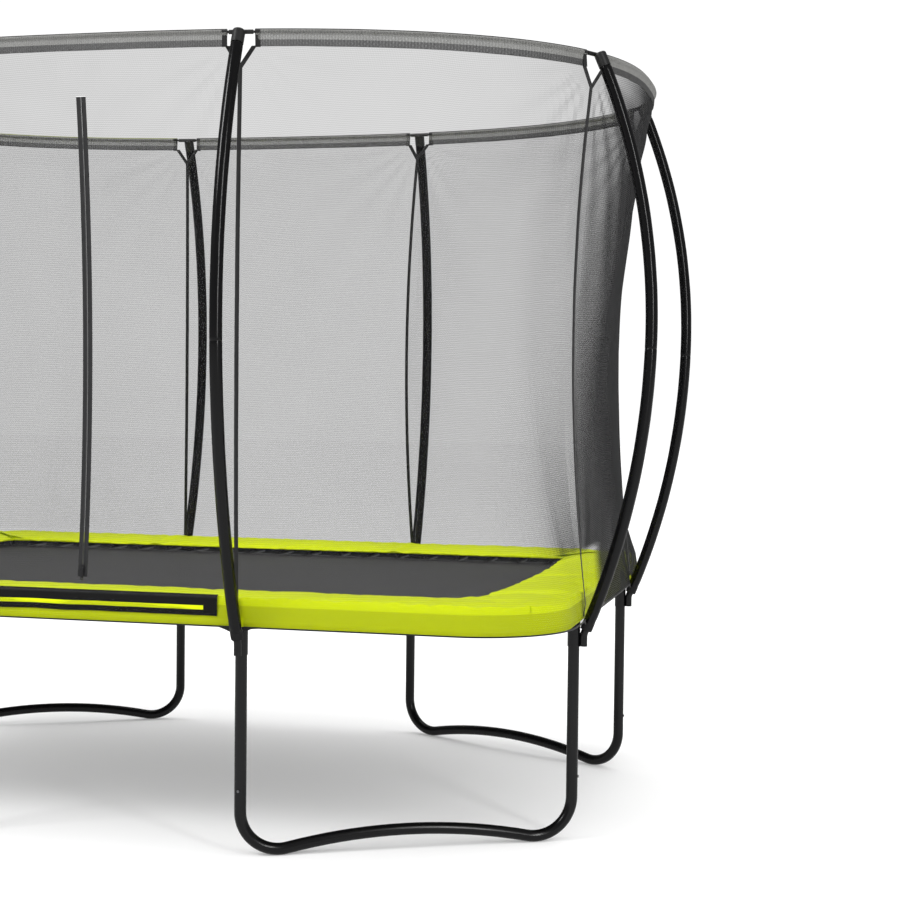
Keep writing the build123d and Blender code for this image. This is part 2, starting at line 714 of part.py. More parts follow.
save_group(caps, "pole_caps")

# ---------------------------------------------------------------- door zip

# The net's front centre line is an arc in the upright YZ plane: its centre lies far out in front.
FRONT_LEAN = (RING_HALF_Y - HALF_Y - NET_BOTTOM_OFFSET) / (NET_SHAPE_TOP - NET_SHAPE_BOTTOM)
FRONT_FOOT = HALF_Y + NET_BOTTOM_OFFSET - FRONT_LEAN * (NET_SHAPE_BOTTOM - NET_CURVE_BOTTOM)
CHORD_LOW = Vector(0, -FRONT_FOOT, NET_CURVE_BOTTOM)
CHORD_HIGH = Vector(0, -RING_HALF_Y, NET_SHAPE_TOP)
CHORD = CHORD_HIGH - CHORD_LOW
ZIP_RADIUS = CHORD.length**2 / (8 * NET_PULL) + NET_PULL / 2
CHORD_NORMAL = Vector(0, CHORD.Z, -CHORD.Y).normalized()
ZIP_CENTRE = (CHORD_LOW + CHORD_HIGH) * 0.5 - CHORD_NORMAL * (ZIP_RADIUS - NET_PULL)
ZIP_AXIS = Axis(ZIP_CENTRE, (1, 0, 0))


# A plane through the zip's centre of curvature: local x along X, local y out to a height on the zip.
def zip_plane(height):
    lift = asin((height - ZIP_CENTRE.Z) / ZIP_RADIUS)
    return Plane(origin=ZIP_CENTRE, x_dir=(1, 0, 0), z_dir=(0, -sin(lift), cos(lift)))


def zip_angle(low, high):
    return degrees(asin((high - ZIP_CENTRE.Z) / ZIP_RADIUS) - asin((low - ZIP_CENTRE.Z) / ZIP_RADIUS))


# A rectangular bar that follows the zip between two heights, for use in a BuildPart.
def zip_bar(low, high, near, far, half_depth, mode=Mode.ADD):
    with BuildSketch(zip_plane(low)) as section:
        with Locations(((near + far) / 2, ZIP_RADIUS)):
            Rectangle(far - near, 2 * half_depth)
    revolve(section.sketch, axis=ZIP_AXIS, revolution_arc=zip_angle(low, high), mode=mode)


# The two tapes of the zip, each with its row of teeth along the slit
with BuildPart() as zip_tape:
    for side in (-1, 1):
        zip_bar(ZIP_BOTTOM, ZIP_TOP, *sorted((side * ZIP_SLIT, side * ZIP_TAPE_HALF_WIDTH)), TAPE_HALF_DEPTH)
        zip_bar(ZIP_BOTTOM, ZIP_TOP, *sorted((side * ZIP_SLIT, side * ZIP_TEETH_HALF_WIDTH)), TEETH_HALF_DEPTH)
save(zip_tape, "door_zip_tape")


# The slider's own frame: origin on the zip at the pull's hinge height, local x along X,
# local y up the zip and local z out of the net, towards the entry side.
def slider_plane(height):
    lift = asin((height - ZIP_CENTRE.Z) / ZIP_RADIUS)
    outward = Vector(0, -cos(lift), -sin(lift))
    return Plane(origin=ZIP_CENTRE - outward * ZIP_RADIUS, x_dir=(1, 0, 0), z_dir=outward)


PULL_SEAT = slider_plane(PULL_PIN_HEIGHT)

# Slider: front and back plates round the teeth, joined by a thin post in the slit,
# with two lugs and a pin that carry the pull
with BuildPart() as slider:
    zip_bar(SLIDER_LOW, SLIDER_HIGH, -SLIDER_HALF_WIDTH, SLIDER_HALF_WIDTH, SLIDER_HALF_DEPTH)
    teeth_room = ZIP_TEETH_HALF_WIDTH + SLIDER_CLEARANCE
    for near, far, depth in (
        (-teeth_room, -POST_HALF_WIDTH, TEETH_HALF_DEPTH),
        (POST_HALF_WIDTH, teeth_room, TEETH_HALF_DEPTH),
        (-SLIDER_HALF_WIDTH - 1, -POST_HALF_WIDTH, TAPE_HALF_DEPTH),
        (POST_HALF_WIDTH, SLIDER_HALF_WIDTH + 1, TAPE_HALF_DEPTH),
    ):
        zip_bar(SLIDER_LOW - 5, SLIDER_HIGH + 5, near, far, depth + SLIDER_CLEARANCE, Mode.SUBTRACT)
    for side in (-1, 1):
        lug = side * (PULL_HALF_WIDTH + LUG_HALF_WIDTH + 0.3)
        with BuildSketch(Plane(PULL_SEAT.from_local_coords((lug, 0, 0)), x_dir=PULL_SEAT.z_dir, z_dir=(1, 0, 0))):
            with Locations((PULL_PIN_OUT - 1.2, 0)):
                Rectangle(LUG_DEPTH, LUG_HEIGHT)
        extrude(amount=LUG_HALF_WIDTH, both=True)
    with BuildSketch(Plane(PULL_SEAT.from_local_coords((0, 0, PULL_PIN_OUT)), z_dir=(1, 0, 0))):
        Circle(PULL_PIN_RADIUS)
    extrude(amount=PULL_HALF_WIDTH + LUG_HALF_WIDTH + 0.5, both=True)
save(slider, "zip_slider")

# Pull tab: a rounded tongue that hangs from the slider's pin, with a finger hole at its end
with BuildPart() as pull:
    with BuildSketch(PULL_SEAT.offset(PULL_PIN_OUT - PULL_THICKNESS / 2)):
        with Locations((0, PULL_END - PULL_LENGTH / 2)):
            SlotOverall(PULL_LENGTH, 2 * PULL_HALF_WIDTH, rotation=90)
        with Locations((0, 7 - PULL_LENGTH)):
            Circle(PULL_FINGER_HOLE, mode=Mode.SUBTRACT)
    extrude(amount=PULL_THICKNESS)
    with BuildSketch(Plane(PULL_SEAT.from_local_coords((0, 0, PULL_PIN_OUT)), z_dir=(1, 0, 0))):
        Circle(PULL_EYE_RADIUS)
    extrude(amount=PULL_HALF_WIDTH - 0.5, both=True)
    with BuildSketch(Plane(PULL_SEAT.from_local_coords((0, 0, PULL_PIN_OUT)), z_dir=(1, 0, 0))):
        Circle(PULL_HOLE_RADIUS)
    extrude(amount=PULL_HALF_WIDTH + 2, both=True, mode=Mode.SUBTRACT)
save(pull, "zip_pull")

# ---------------------------------------------------------------- mat, V-rings and springs

with BuildPart() as mat:
    with BuildSketch(Plane.XY.offset(MAT_LEVEL - MAT_THICKNESS / 2)):
        RectangleRounded(2 * MAT_HALF_X, 2 * MAT_HALF_Y, MAT_CORNER)
    extrude(amount=MAT_THICKNESS)
    with BuildSketch(Plane.XY.offset(MAT_LEVEL - MAT_HEM_THICKNESS / 2)):
        RectangleRounded(2 * MAT_HALF_X, 2 * MAT_HALF_Y, MAT_CORNER)
        RectangleRounded(
            2 * (MAT_HALF_X - MAT_HEM_WIDTH),
            2 * (MAT_HALF_Y - MAT_HEM_WIDTH),
            MAT_CORNER - MAT_HEM_WIDTH,
            mode=Mode.SUBTRACT,
        )
    extrude(amount=MAT_HEM_THICKNESS)
save(mat, "jumping_mat")

# How far beyond the mat's edge the wire at the V-ring's point runs
V_HALF_ANGLE = atan2(V_RING_HALF_BASE, V_RING_REACH + V_RING_SEAT)
V_POINT = V_RING_REACH - V_RING_BEND * (1 / sin(V_HALF_ANGLE) - 1)

# V-ring in its own frame: origin on the mat's edge, local z towards the mat, local x up
with BuildPart() as v_ring:
    with BuildLine(Plane.YZ) as path:
        FilletPolyline(
            (V_RING_HALF_BASE, V_RING_SEAT),
            (0, -V_RING_REACH),
            (-V_RING_HALF_BASE, V_RING_SEAT),
            radius=V_RING_BEND,
            close=True,
        )
    with BuildSketch(Plane(origin=path.line @ 0, z_dir=path.line % 0)):
        Circle(V_RING_WIRE)
    sweep()
save_group([v_ring.part.moved(run_plane(run, True).location) for run in RUNS], "mat_v_rings")


# A spring in its own frame: origin on the ring tube's axis, local z towards the mat, local x up.
# The close-wound coil is one tube with closed ends. One hook turns up inside the ring tube,
# and the other loops over the V-ring.
def spring_of(length):
    coil_start = FRAME_OUTER + SPRING_FRAME_GAP
    loop_centre = length - V_POINT
    coil_end = loop_centre - HOOK_RADIUS - SPRING_RING_GAP
    with BuildPart() as spring:
        with BuildSketch(Plane.XY.offset(coil_start)):
            Circle(SPRING_OUTER)
        extrude(amount=coil_end - coil_start)
        with BuildSketch(Plane.XY.offset(coil_start + SPRING_END)):
            Circle(SPRING_INNER)
        extrude(amount=coil_end - coil_start - 2 * SPRING_END, mode=Mode.SUBTRACT)
        with BuildLine(Plane.XZ) as path:
            FilletPolyline(
                (0, coil_start + 1), (0, FRAME_HOOK_DEPTH), (FRAME_HOOK_RISE, FRAME_HOOK_DEPTH), radius=4
            )
        with BuildSketch(Plane(origin=path.line @ 0, z_dir=path.line % 0)) as wire:
            Circle(SPRING_WIRE)
        sweep(sections=wire.sketch, path=path.line)
        with BuildSketch(Plane.XY.offset(coil_end - 1)) as wire:
            Circle(SPRING_WIRE)
        extrude(wire.sketch, amount=loop_centre - HOOK_RADIUS - coil_end + 1.5)
        with BuildLine(Plane.XZ) as path:
            CenterArc((0, loop_centre), HOOK_RADIUS, -90, 230)
        with BuildSketch(Plane(origin=path.line @ 0, z_dir=path.line % 0)) as wire:
            Circle(SPRING_WIRE)
        sweep(sections=wire.sketch, path=path.line)
    return spring.part


springs = []
for run in RUNS:
    springs.append(spring_of((run[1] - run[0]).length).moved(run_plane(run, False).location))
save_group(springs, "springs")

# ---------------------------------------------------------------- pads


# One pad: a wedge of foam over the springs with a thin drop face outside the ring tube.
# Local x runs along the side, local y outward. Both ends are mitred at 45 degrees.
def pad_solid(side, run, reach):
    far = run + PAD_OUTER_OFFSET
    outer = reach + PAD_OUTER_OFFSET
    corner = CORNER_RADIUS + PAD_OUTER_OFFSET
    height = PAD_OUTER_TOP - PAD_DROP_BOTTOM + 1
    with BuildPart() as pad:
        with BuildSketch(Plane(origin=side.origin, x_dir=side.y_dir, z_dir=side.x_dir).offset(-far)) as profile:
            Polygon(
                (outer - PAD_WIDTH, PAD_BOTTOM),
                (outer, PAD_BOTTOM),
                (outer, PAD_OUTER_TOP),
                (outer - PAD_WIDTH, PAD_INNER_TOP),
                align=None,
            )
        extrude(profile.sketch, amount=2 * far)
        with BuildSketch(side.offset(PAD_DROP_BOTTOM)) as outline:
            RectangleRounded(2 * far, 2 * outer, corner)
        extrude(outline.sketch, amount=height, mode=Mode.INTERSECT)
        crown = pad.faces().sort_by(Axis.Z)[-1]
        fillet(crown.edges().sort_by(Axis.Z)[1:], PAD_EDGE_ROUND)
        with BuildSketch(side.offset(PAD_DROP_BOTTOM)) as drop:
            RectangleRounded(2 * far, 2 * outer, corner)
            RectangleRounded(
                2 * (far - PAD_DROP_THICKNESS),
                2 * (outer - PAD_DROP_THICKNESS),
                corner - PAD_DROP_THICKNESS,
                mode=Mode.SUBTRACT,
            )
        extrude(drop.sketch, amount=PAD_BOTTOM - PAD_DROP_BOTTOM + 5)
        inset = PAD_WIDTH + 2 * PAD_EDGE_ROUND
        gap = PAD_JOINT_GAP / sqrt(2)
        with BuildSketch(side.offset(PAD_DROP_BOTTOM)) as wedge:
            Polygon(
                (-far + gap, outer),
                (far - gap, outer),
                (far - inset - gap, outer - inset),
                (inset + gap - far, outer - inset),
                align=None,
            )
        extrude(wedge.sketch, amount=height, mode=Mode.INTERSECT)
    return pad


PAD_SIDES = {
    "front": ((-1, 0, 0), HALF_X, HALF_Y),
    "rear": ((1, 0, 0), HALF_X, HALF_Y),
    "left": ((0, 1, 0), HALF_Y, HALF_X),
    "right": ((0, -1, 0), HALF_Y, HALF_X),
}
for name, (along, run, reach) in PAD_SIDES.items():
    save(pad_solid(Plane(origin=(0, 0, 0), x_dir=along, z_dir=(0, 0, 1)), run, reach), "pad_" + name)
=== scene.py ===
"""Looks for the backyard trampoline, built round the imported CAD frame.

Metres, +Z up, -Y is the entry side. Hard parts are the CAD's own nodes with new materials.
Net, hems, straps, sleeves, pads, mat, springs and V-rings are built here in their place.
"""

import math

import bmesh
import bpy
import numpy as np
from mathutils import Matrix, Vector, noise


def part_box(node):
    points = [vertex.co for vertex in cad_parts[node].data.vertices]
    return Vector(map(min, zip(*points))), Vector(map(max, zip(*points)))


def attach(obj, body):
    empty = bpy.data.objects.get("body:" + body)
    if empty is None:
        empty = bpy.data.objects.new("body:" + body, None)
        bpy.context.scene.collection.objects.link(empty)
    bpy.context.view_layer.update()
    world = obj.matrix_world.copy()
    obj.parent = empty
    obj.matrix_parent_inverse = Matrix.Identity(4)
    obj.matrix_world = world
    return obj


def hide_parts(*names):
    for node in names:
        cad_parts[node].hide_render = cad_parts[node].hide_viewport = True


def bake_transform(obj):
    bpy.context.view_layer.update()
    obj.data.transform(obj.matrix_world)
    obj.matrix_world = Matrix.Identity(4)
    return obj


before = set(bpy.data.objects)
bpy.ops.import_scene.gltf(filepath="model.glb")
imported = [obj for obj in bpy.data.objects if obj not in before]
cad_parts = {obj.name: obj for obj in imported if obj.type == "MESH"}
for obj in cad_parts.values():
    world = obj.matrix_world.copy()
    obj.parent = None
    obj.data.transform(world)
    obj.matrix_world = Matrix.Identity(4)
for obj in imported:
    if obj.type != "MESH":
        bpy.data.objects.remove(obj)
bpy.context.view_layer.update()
SCENE = bpy.context.scene

# ---- places taken from the frame


def centre_of(node):
    low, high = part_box(node)
    return (low + high) / 2


HALF_X = centre_of("frame_rail_right").x
HALF_Y = -centre_of("frame_rail_front").y
FRAME_Z = centre_of("frame_rail_front").z
STATION_X = centre_of("leg_upright_front_right").x
STATION_Y = -centre_of("leg_upright_right_front").y
CORNER = 0.280
MAT_LOW, MAT_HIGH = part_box("jumping_mat")
MAT_X = MAT_HIGH.x
MAT_Y = MAT_HIGH.y
MAT_CORNER = 0.100
MAT_Z = (MAT_LOW.z + MAT_HIGH.z) / 2
PAD_LOW, PAD_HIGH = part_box("pad_front")
PAD_OFFSET = -PAD_LOW.y - HALF_Y
PAD_TOP = PAD_HIGH.z
PAD_DROP = PAD_LOW.z
PAD_WIDTH = PAD_HIGH.y - PAD_LOW.y
NET_LOW, NET_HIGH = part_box("safety_net")
NET_BOTTOM = NET_LOW.z
HEM_TOP = NET_HIGH.z
SLEEVE_LOW, SLEEVE_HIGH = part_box("pole_padding")
ZIP_LOW, ZIP_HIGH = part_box("door_zip_tape")

STITCH_INSET = 0.01
THREAD_RADIUS = 0.0006

STATIONS = {}
for row, sign in (("front", -1), ("rear", 1)):
    for column, turn in (("left", -1), ("right", 1)):
        STATIONS[row + "_" + column] = (Vector((turn * STATION_X, sign * HALF_Y, 0)), Vector((0, sign, 0)))
        STATIONS[column + "_" + row] = (Vector((turn * HALF_X, sign * STATION_Y, 0)), Vector((turn, 0, 0)))

# ---- mesh building


def smoothstep(value):
    value = np.clip(value, 0, 1)
    return value * value * (3 - 2 * value)


def field(points, scale, seed=0.0):
    """Smooth noise from -1 to 1 at every point, always the same for the same point."""
    flat = np.asarray(points, float).reshape(-1, 3) * scale + seed
    values = np.array([noise.noise(Vector(p)) for p in flat])
    return values.reshape(np.asarray(points).shape[:-1])


def merged(*parts):
    """The values of all parts in order, each once."""
    return np.unique(np.round(np.concatenate(parts), 5))


def lengths_along(points, axis=0):
    """Distance travelled along one axis of a line or grid of points, from zero."""
    steps = np.linalg.norm(np.diff(points, axis=axis), axis=-1)
    return np.concatenate([np.zeros_like(np.take(steps, [0], axis)), np.cumsum(steps, axis)], axis)


def place_new(name, data):
    piece = bpy.data.objects.new(name, data)
    SCENE.collection.objects.link(piece)
    return piece


class Shells:
    """Closed shells gathered into one mesh, each with a material slot and plane coordinates for its weave."""

    def __init__(self):
        self.verts, self.faces, self.slots, self.uvs = [], [], [], []
        self.count = 0

    def add(self, verts, faces, slot=0, uv=None):
        verts = np.asarray(verts, float).reshape(-1, 3)
        self.verts.append(verts)
        self.uvs.append(np.zeros((len(verts), 2)) if uv is None else np.asarray(uv, float).reshape(-1, 2))
        self.faces += [tuple(int(i) + self.count for i in face) for face in faces]
        self.slots += slot if isinstance(slot, list) else [slot] * len(faces)
        self.count += len(verts)

    def build(self, name, materials):
        mesh = bpy.data.meshes.new(name)
        mesh.from_pydata(np.concatenate(self.verts).tolist(), [], self.faces)
        for material in materials:
            mesh.materials.append(material)
        mesh.polygons.foreach_set("material_index", self.slots)
        uvs = np.concatenate(self.uvs)
        corners = np.zeros(len(mesh.loops), np.int32)
        mesh.loops.foreach_get("vertex_index", corners)
        layer = mesh.uv_layers.new(name="weave")
        layer.data.foreach_set("uv", uvs[corners].ravel())
        work = bmesh.new()
        work.from_mesh(mesh)
        loose = [v for v in work.verts if not v.link_faces]
        bmesh.ops.delete(work, geom=loose, context="VERTS")
        bmesh.ops.recalc_face_normals(work, faces=work.faces)
        work.to_mesh(mesh)
        work.free()
        mesh.polygons.foreach_set("use_smooth", [True] * len(mesh.polygons))
        mesh.set_sharp_from_angle(angle=math.radians(48))
        return place_new(name, mesh)


def ring_faces(rows, around, closed=False):
    """Faces of a skin through `rows` rings of `around` points each, closed on itself or capped at its ends."""
    faces = []
    for row in range(rows if closed else rows - 1):
        here = row * around
        there = ((row + 1) % rows) * around
        for i in range(around):
            j = (i + 1) % around
            faces.append((here + i, here + j, there + j, there + i))
    if not closed:
        faces.append(tuple(range(around - 1, -1, -1)))
        faces.append(tuple(range((rows - 1) * around, rows * around)))
    return faces


def path_frames(path, up=(0, 0, 1)):
    """Two cross directions along a path, turned as little as possible from point to point."""
    tangents = np.gradient(path, axis=0)
    tangents /= np.linalg.norm(tangents, axis=1)[:, None]
    side = np.cross(tangents[0], up)
    if np.linalg.norm(side) < 1e-3:
        side = np.cross(tangents[0], (1, 0, 0))
    sides = []
    for tangent in tangents:
        side = side - tangent * (side @ tangent)
        side /= np.linalg.norm(side)
        sides.append(side)
    sides = np.array(sides)
    return sides, np.cross(sides, tangents)


def even_turns(around):
    return np.linspace(0, 2 * np.pi, around, endpoint=False)


def spokes(sides, ups, around):
    """Unit vectors all round each point of a path, from its two cross directions."""
    turn = even_turns(around)
    return sides[:, None] * np.cos(turn)[None, :, None] + ups[:, None] * np.sin(turn)[None, :, None]


def add_tube(shells, path, radius, around, slot=0):
    rings = path[:, None] + radius * spokes(*path_frames(path), around)
    shells.add(rings, ring_faces(len(rings), around), slot)


def add_closed_tube(shells, path, radius, around):
    """A tube round a flat closed path."""
    tangents = np.roll(path, -1, 0) - np.roll(path, 1, 0)
    tangents /= np.linalg.norm(tangents, axis=1)[:, None]
    normal = np.cross(tangents[0], tangents[len(path) // 3])
    normal /= np.linalg.norm(normal)
    sides = np.cross(tangents, normal)
    rings = path[:, None] + radius * spokes(sides, np.broadcast_to(normal, sides.shape), around)
    shells.add(rings, ring_faces(len(rings), around, closed=True))


def add_stitches(shells, line, length, pitch):
    """Short threads laid along a line of points, in the second material of the shells."""
    run = lengths_along(line)
    for start in np.arange(STITCH_INSET, run[-1] - STITCH_INSET, pitch):
        marks = start + np.array([0, length / 2, length])
        spots = np.stack([np.interp(marks, run, line[:, k]) for k in range(3)], 1)
        add_tube(shells, spots, THREAD_RADIUS, 4, 1)


def grid_normals(points):
    """Unit normals of a grid of points, across its rows and columns."""
    down = np.gradient(points, axis=0)
    across = np.gradient(points, axis=1)
    normals = np.cross(across, down)
    return normals / np.maximum(np.linalg.norm(normals, axis=2), 1e-12)[..., None]


def add_sheet(shells, points, thickness, slot=0, keep=None, uv=None):
    """A sheet with real thickness over a grid of points. `keep` says which cells of the grid are there."""
    rows, columns, _ = points.shape
    normals = grid_normals(points)
    half = np.broadcast_to(np.asarray(thickness, float) / 2, (rows, columns))[..., None]
    verts = np.concatenate([points + normals * half, points - normals * half])
    if keep is None:
        keep = np.ones((rows - 1, columns - 1), bool)
    if uv is None:
        uv = np.stack([lengths_along(points, 1), lengths_along(points, 0)], axis=2)
    under = rows * columns
    faces = []
    for i, j in np.argwhere(keep):
        a = i * columns + j
        b = a + 1
        c = b + columns
        d = a + columns
        faces.append((a, b, c, d))
        faces.append((under + d, under + c, under + b, under + a))
        for present, first, second in (
            (i > 0 and keep[i - 1, j], a, b),
            (i < rows - 2 and keep[i + 1, j], c, d),
            (j > 0 and keep[i, j - 1], d, a),
            (j < columns - 2 and keep[i, j + 1], b, c),
        ):
            if not present:
                faces.append((second, first, under + first, under + second))
    shells.add(verts, faces, slot, np.concatenate([uv.reshape(-1, 2)] * 2))


def finish_piece(piece, replaced=None, body="structure"):
    """Ties a piece to its body and hides the CAD node it stands for."""
    if body:
        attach(piece, body)
    if replaced:
        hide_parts(replaced)


# ---- materials


class Nodes:
    """A small helper that adds and joins shader nodes."""

    def __init__(self, name):
        self.material = bpy.data.materials.new(name)
        self.material.use_nodes = True
        self.tree = self.material.node_tree
        self.tree.nodes.clear()
        self.output = self.add("ShaderNodeOutputMaterial")
        self.coordinates = self.add("ShaderNodeTexCoord")

    def add(self, kind, settings=None, **inputs):
        node = self.tree.nodes.new(kind)
        for key, value in (settings or {}).items():
            setattr(node, key, value)
        for key, value in inputs.items():
            self.put(node, key, value)
        return node

    def put(self, node, key, value):
        socket = node.inputs[int(key[1:])] if key[0] == "_" else node.inputs[key.replace("_", " ")]
        if isinstance(value, bpy.types.NodeSocket):
            self.tree.links.new(value, socket)
        else:
            socket.default_value = value

    def maths(self, operation, first, second=0.0):
        return self.add("ShaderNodeMath", {"operation": operation}, _0=first, _1=second).outputs[0]

    def times(self, first, second):
        return self.maths("MULTIPLY", first, second)

    def plus(self, first, second):
        return self.maths("ADD", first, second)

    def split(self, kind):
        """The separate coordinates of a point, "Object" in the frame or "UV" in the sheet's plane."""
        return self.add("ShaderNodeSeparateXYZ", Vector=self.coordinates.outputs[kind]).outputs

    def wave(self, place, pitch):
        return self.maths("SINE", self.times(place, 2 * math.pi / pitch))

    def noise(self, scale, detail, roughness=0.55, stretch=None):
        vector = self.coordinates.outputs["Object"]
        if stretch:
            vector = self.add("ShaderNodeMapping", Vector=vector, Scale=stretch).outputs[0]
        inputs = {"Vector": vector, "Scale": scale, "Detail": detail, "Roughness": roughness}
        return self.add("ShaderNodeTexNoise", **inputs).outputs[0]

    def range(self, value, low, high):
        return self.add("ShaderNodeMapRange", Value=value, To_Min=low, To_Max=high).outputs[0]

    def mix(self, factor, first, second):
        return self.add("ShaderNodeMix", {"data_type": "RGBA"}, _0=factor, _6=first, _7=second).outputs[2]

    def bump(self, height, distance, strength=1.0, normal=None):
        node = self.add("ShaderNodeBump", Strength=strength, Distance=distance, Height=height)
        if normal is not None:
            self.put(node, "Normal", normal)
        return node.outputs[0]

    def weave(self, pitch_u, pitch_v):
        """A woven height pattern from the sheet's own plane coordinates."""
        split = self.split("UV")
        return self.times(self.wave(split[0], pitch_u), self.wave(split[1], pitch_v))

    def surface(self, **inputs):
        return self.add("ShaderNodeBsdfPrincipled", **inputs).outputs[0]

    def end(self, shader):
        self.tree.links.new(shader, self.output.inputs[0])
        return self.material


def rgb(red, green, blue):
    """A colour given as it looks on a screen, 0 to 255, as linear light."""
    levels = (red, green, blue)
    return tuple(((v / 255 + 0.055) / 1.055) ** 2.4 if v > 10 else v / 3294.6 for v in levels) + (1.0,)


def shade(colour, factor, lift=0.0):
    """A colour made lighter or darker."""
    return tuple(min(1.0, c * factor + lift) for c in colour[:3]) + (1.0,)


def painted(name, colour, roughness, dust=0.25, peel=0.00006):
    """Powder coat or gloss paint: fine orange peel, dust in patches and uneven gloss."""
    n = Nodes(name)
    tint = n.mix(n.range(n.noise(9, 4), -0.2, dust), colour, shade(colour, 1.6, 0.003))
    rough = n.range(n.noise(26, 3), roughness * 0.75, roughness * 1.35)
    grain = n.bump(n.noise(900, 2), peel)
    return n.end(n.surface(Base_Color=tint, Roughness=rough, Normal=grain, Specular_IOR_Level=0.4))


def metal(name, colour, roughness, scale=60.0):
    """Zinc or spring steel: spangle, fine scratches and a little dull bloom."""
    n = Nodes(name)
    spangle = n.add("ShaderNodeTexVoronoi", Vector=n.coordinates.outputs["Object"], Scale=scale * 4).outputs[0]
    bloom = n.noise(scale / 2, 4)
    tint = n.mix(n.range(bloom, 0.0, 0.8), colour, shade(colour, 0.62))
    rough = n.plus(n.range(spangle, 0.0, 0.12), n.range(bloom, roughness * 0.8, roughness * 1.3))
    scratches = n.bump(n.noise(1500, 2), 0.00003)
    return n.end(n.surface(Base_Color=tint, Roughness=rough, Metallic=1.0, Normal=scratches))


def plastic(name, colour, roughness):
    """Moulded plastic or thread with a fine grain."""
    n = Nodes(name)
    tint = n.mix(n.range(n.noise(30, 4), 0.0, 0.6), colour, shade(colour, 1.5, 0.004))
    rough = n.range(n.noise(70, 3), roughness * 0.85, roughness * 1.2)
    return n.end(n.surface(Base_Color=tint, Roughness=rough, Normal=n.bump(n.noise(700, 3), 0.00008)))


def vinyl(name, colour, roughness, wrinkle=0.0012, scale=14.0, stretch=(1, 1, 1), specular=0.4):
    """Coated fabric: soft wrinkles, the print of the base cloth and slightly uneven colour."""
    n = Nodes(name)
    tint = n.mix(n.range(n.noise(5, 5, 0.6), 0.0, 0.55), colour, shade(colour, 0.8))
    rough = n.range(n.noise(30, 3), roughness * 0.8, roughness * 1.25)
    folds = n.bump(n.noise(scale, 6, 0.62, stretch), wrinkle * 8, 0.55)
    fine = n.bump(n.noise(scale * 5, 4, 0.6, stretch), wrinkle, 0.7, folds)
    cloth = n.bump(n.noise(1600, 1), 0.00004, 0.6, fine)
    return n.end(n.surface(Base_Color=tint, Roughness=rough, Normal=cloth, Specular_IOR_Level=specular))


def woven(name, colour, roughness, pitch, depth=0.0003, cloud=0.25, cloud_scale=12):
    """Close woven cloth or webbing over the sheet's plane coordinates."""
    n = Nodes(name)
    pattern = n.weave(*pitch)
    raised = n.times(n.range(pattern, 0.0, 1.0), 0.5)
    patches = n.range(n.noise(cloud_scale, 5), -0.15, cloud)
    tint = n.mix(n.plus(raised, patches), colour, shade(colour, 1.8, 0.004))
    rough = n.range(n.noise(40, 3), roughness * 0.85, roughness)
    gloss = {"Sheen_Weight": 0.12, "Specular_IOR_Level": 0.34}
    return n.end(n.surface(Base_Color=tint, Roughness=rough, Normal=n.bump(pattern, depth), **gloss))


# How fast the netting closes as it turns edge on. It stays open beside the entry side's corner feet.
SLANT_POWER = 1.5
FOOT_SLANT_POWER = 0.2
FOOT_HEIGHTS = {"From_Min": 0.965, "From_Max": 0.94}
FOOT_REACH = {"From_Min": 0.10, "From_Max": 0.30}
EDGE_ON = 0.09
MESH_PITCH = 0.0076
LINE_DEPTH = 0.24
CELL_DEPTH = 0.2


def netting(name, colour, clear, uneven=0.12):
    """Open mesh: light passes between the threads, much less of it at a slant, in fine level lines."""
    n = Nodes(name)
    geometry = n.add("ShaderNodeNewGeometry").outputs
    vectors = {"_0": geometry["Incoming"], "_1": geometry["True Normal"]}
    turned = n.add("ShaderNodeVectorMath", {"operation": "DOT_PRODUCT"}, **vectors).outputs["Value"]
    facing = n.maths("ABSOLUTE", turned)
    slant = n.maths("DIVIDE", 1.0, n.maths("MAXIMUM", facing, EDGE_ON))
    cloud = n.range(n.noise(3.5, 4, 0.6), 1.0 - uneven, 1.0 + uneven)
    lines = n.times(n.wave(n.split("UV")[1], MESH_PITCH * 0.85), LINE_DEPTH)
    cells = n.times(n.weave(MESH_PITCH, MESH_PITCH * 1.15), n.times(facing, CELL_DEPTH))
    place = n.split("Object")
    low = n.add("ShaderNodeMapRange", Value=place[2], **FOOT_HEIGHTS).outputs[0]
    near = n.add("ShaderNodeMapRange", Value=n.times(place[1], -1.0), **FOOT_REACH).outputs[0]
    relief = n.times(n.times(low, near), FOOT_SLANT_POWER - SLANT_POWER)
    reach = n.maths("POWER", slant, n.plus(SLANT_POWER, relief))
    through = n.maths("POWER", clear, n.times(reach, n.times(cloud, n.plus(1.0, n.plus(lines, cells)))))
    tint = n.mix(n.range(n.noise(40, 4), 0.0, 0.7), colour, shade(colour, 1.7))
    cloth = n.surface(Base_Color=tint, Roughness=0.75, Specular_IOR_Level=0.2)
    gap = n.add("ShaderNodeBsdfTransparent").outputs[0]
    return n.end(n.add("ShaderNodeMixShader", _0=through, _1=cloth, _2=gap).outputs[0])


LEG_PAINT = painted("leg_paint", rgb(8, 8, 9), 0.2)
FRAME_PAINT = painted("frame_paint", rgb(10, 10, 11), 0.3)
SOCKET_PAINT = painted("socket_paint", rgb(8, 8, 9), 0.22, peel=0.0001)
POLE_PAINT = painted("pole_paint", rgb(12, 12, 13), 0.35)
SLEEVE_VINYL = vinyl("sleeve_vinyl", rgb(8, 8, 9), 0.17, 0.00008, 22, (1, 1, 0.1), 0.3)
CUFF_VINYL = vinyl("cuff_vinyl", rgb(20, 20, 21), 0.6, 0.0002, 40, specular=0.25)
CAP_PLASTIC = plastic("cap_plastic", rgb(20, 20, 20), 0.4)
ROD_PLASTIC = plastic("rod_plastic", rgb(30, 30, 28), 0.45)
ZINC = metal("zinc", rgb(150, 150, 154), 0.34)
# Spring steel grey, toned darker as painted shade: the springs sit in the shade under the pads.
SPRING_STEEL_SHADED = metal("spring_steel", rgb(128, 128, 132), 0.34)
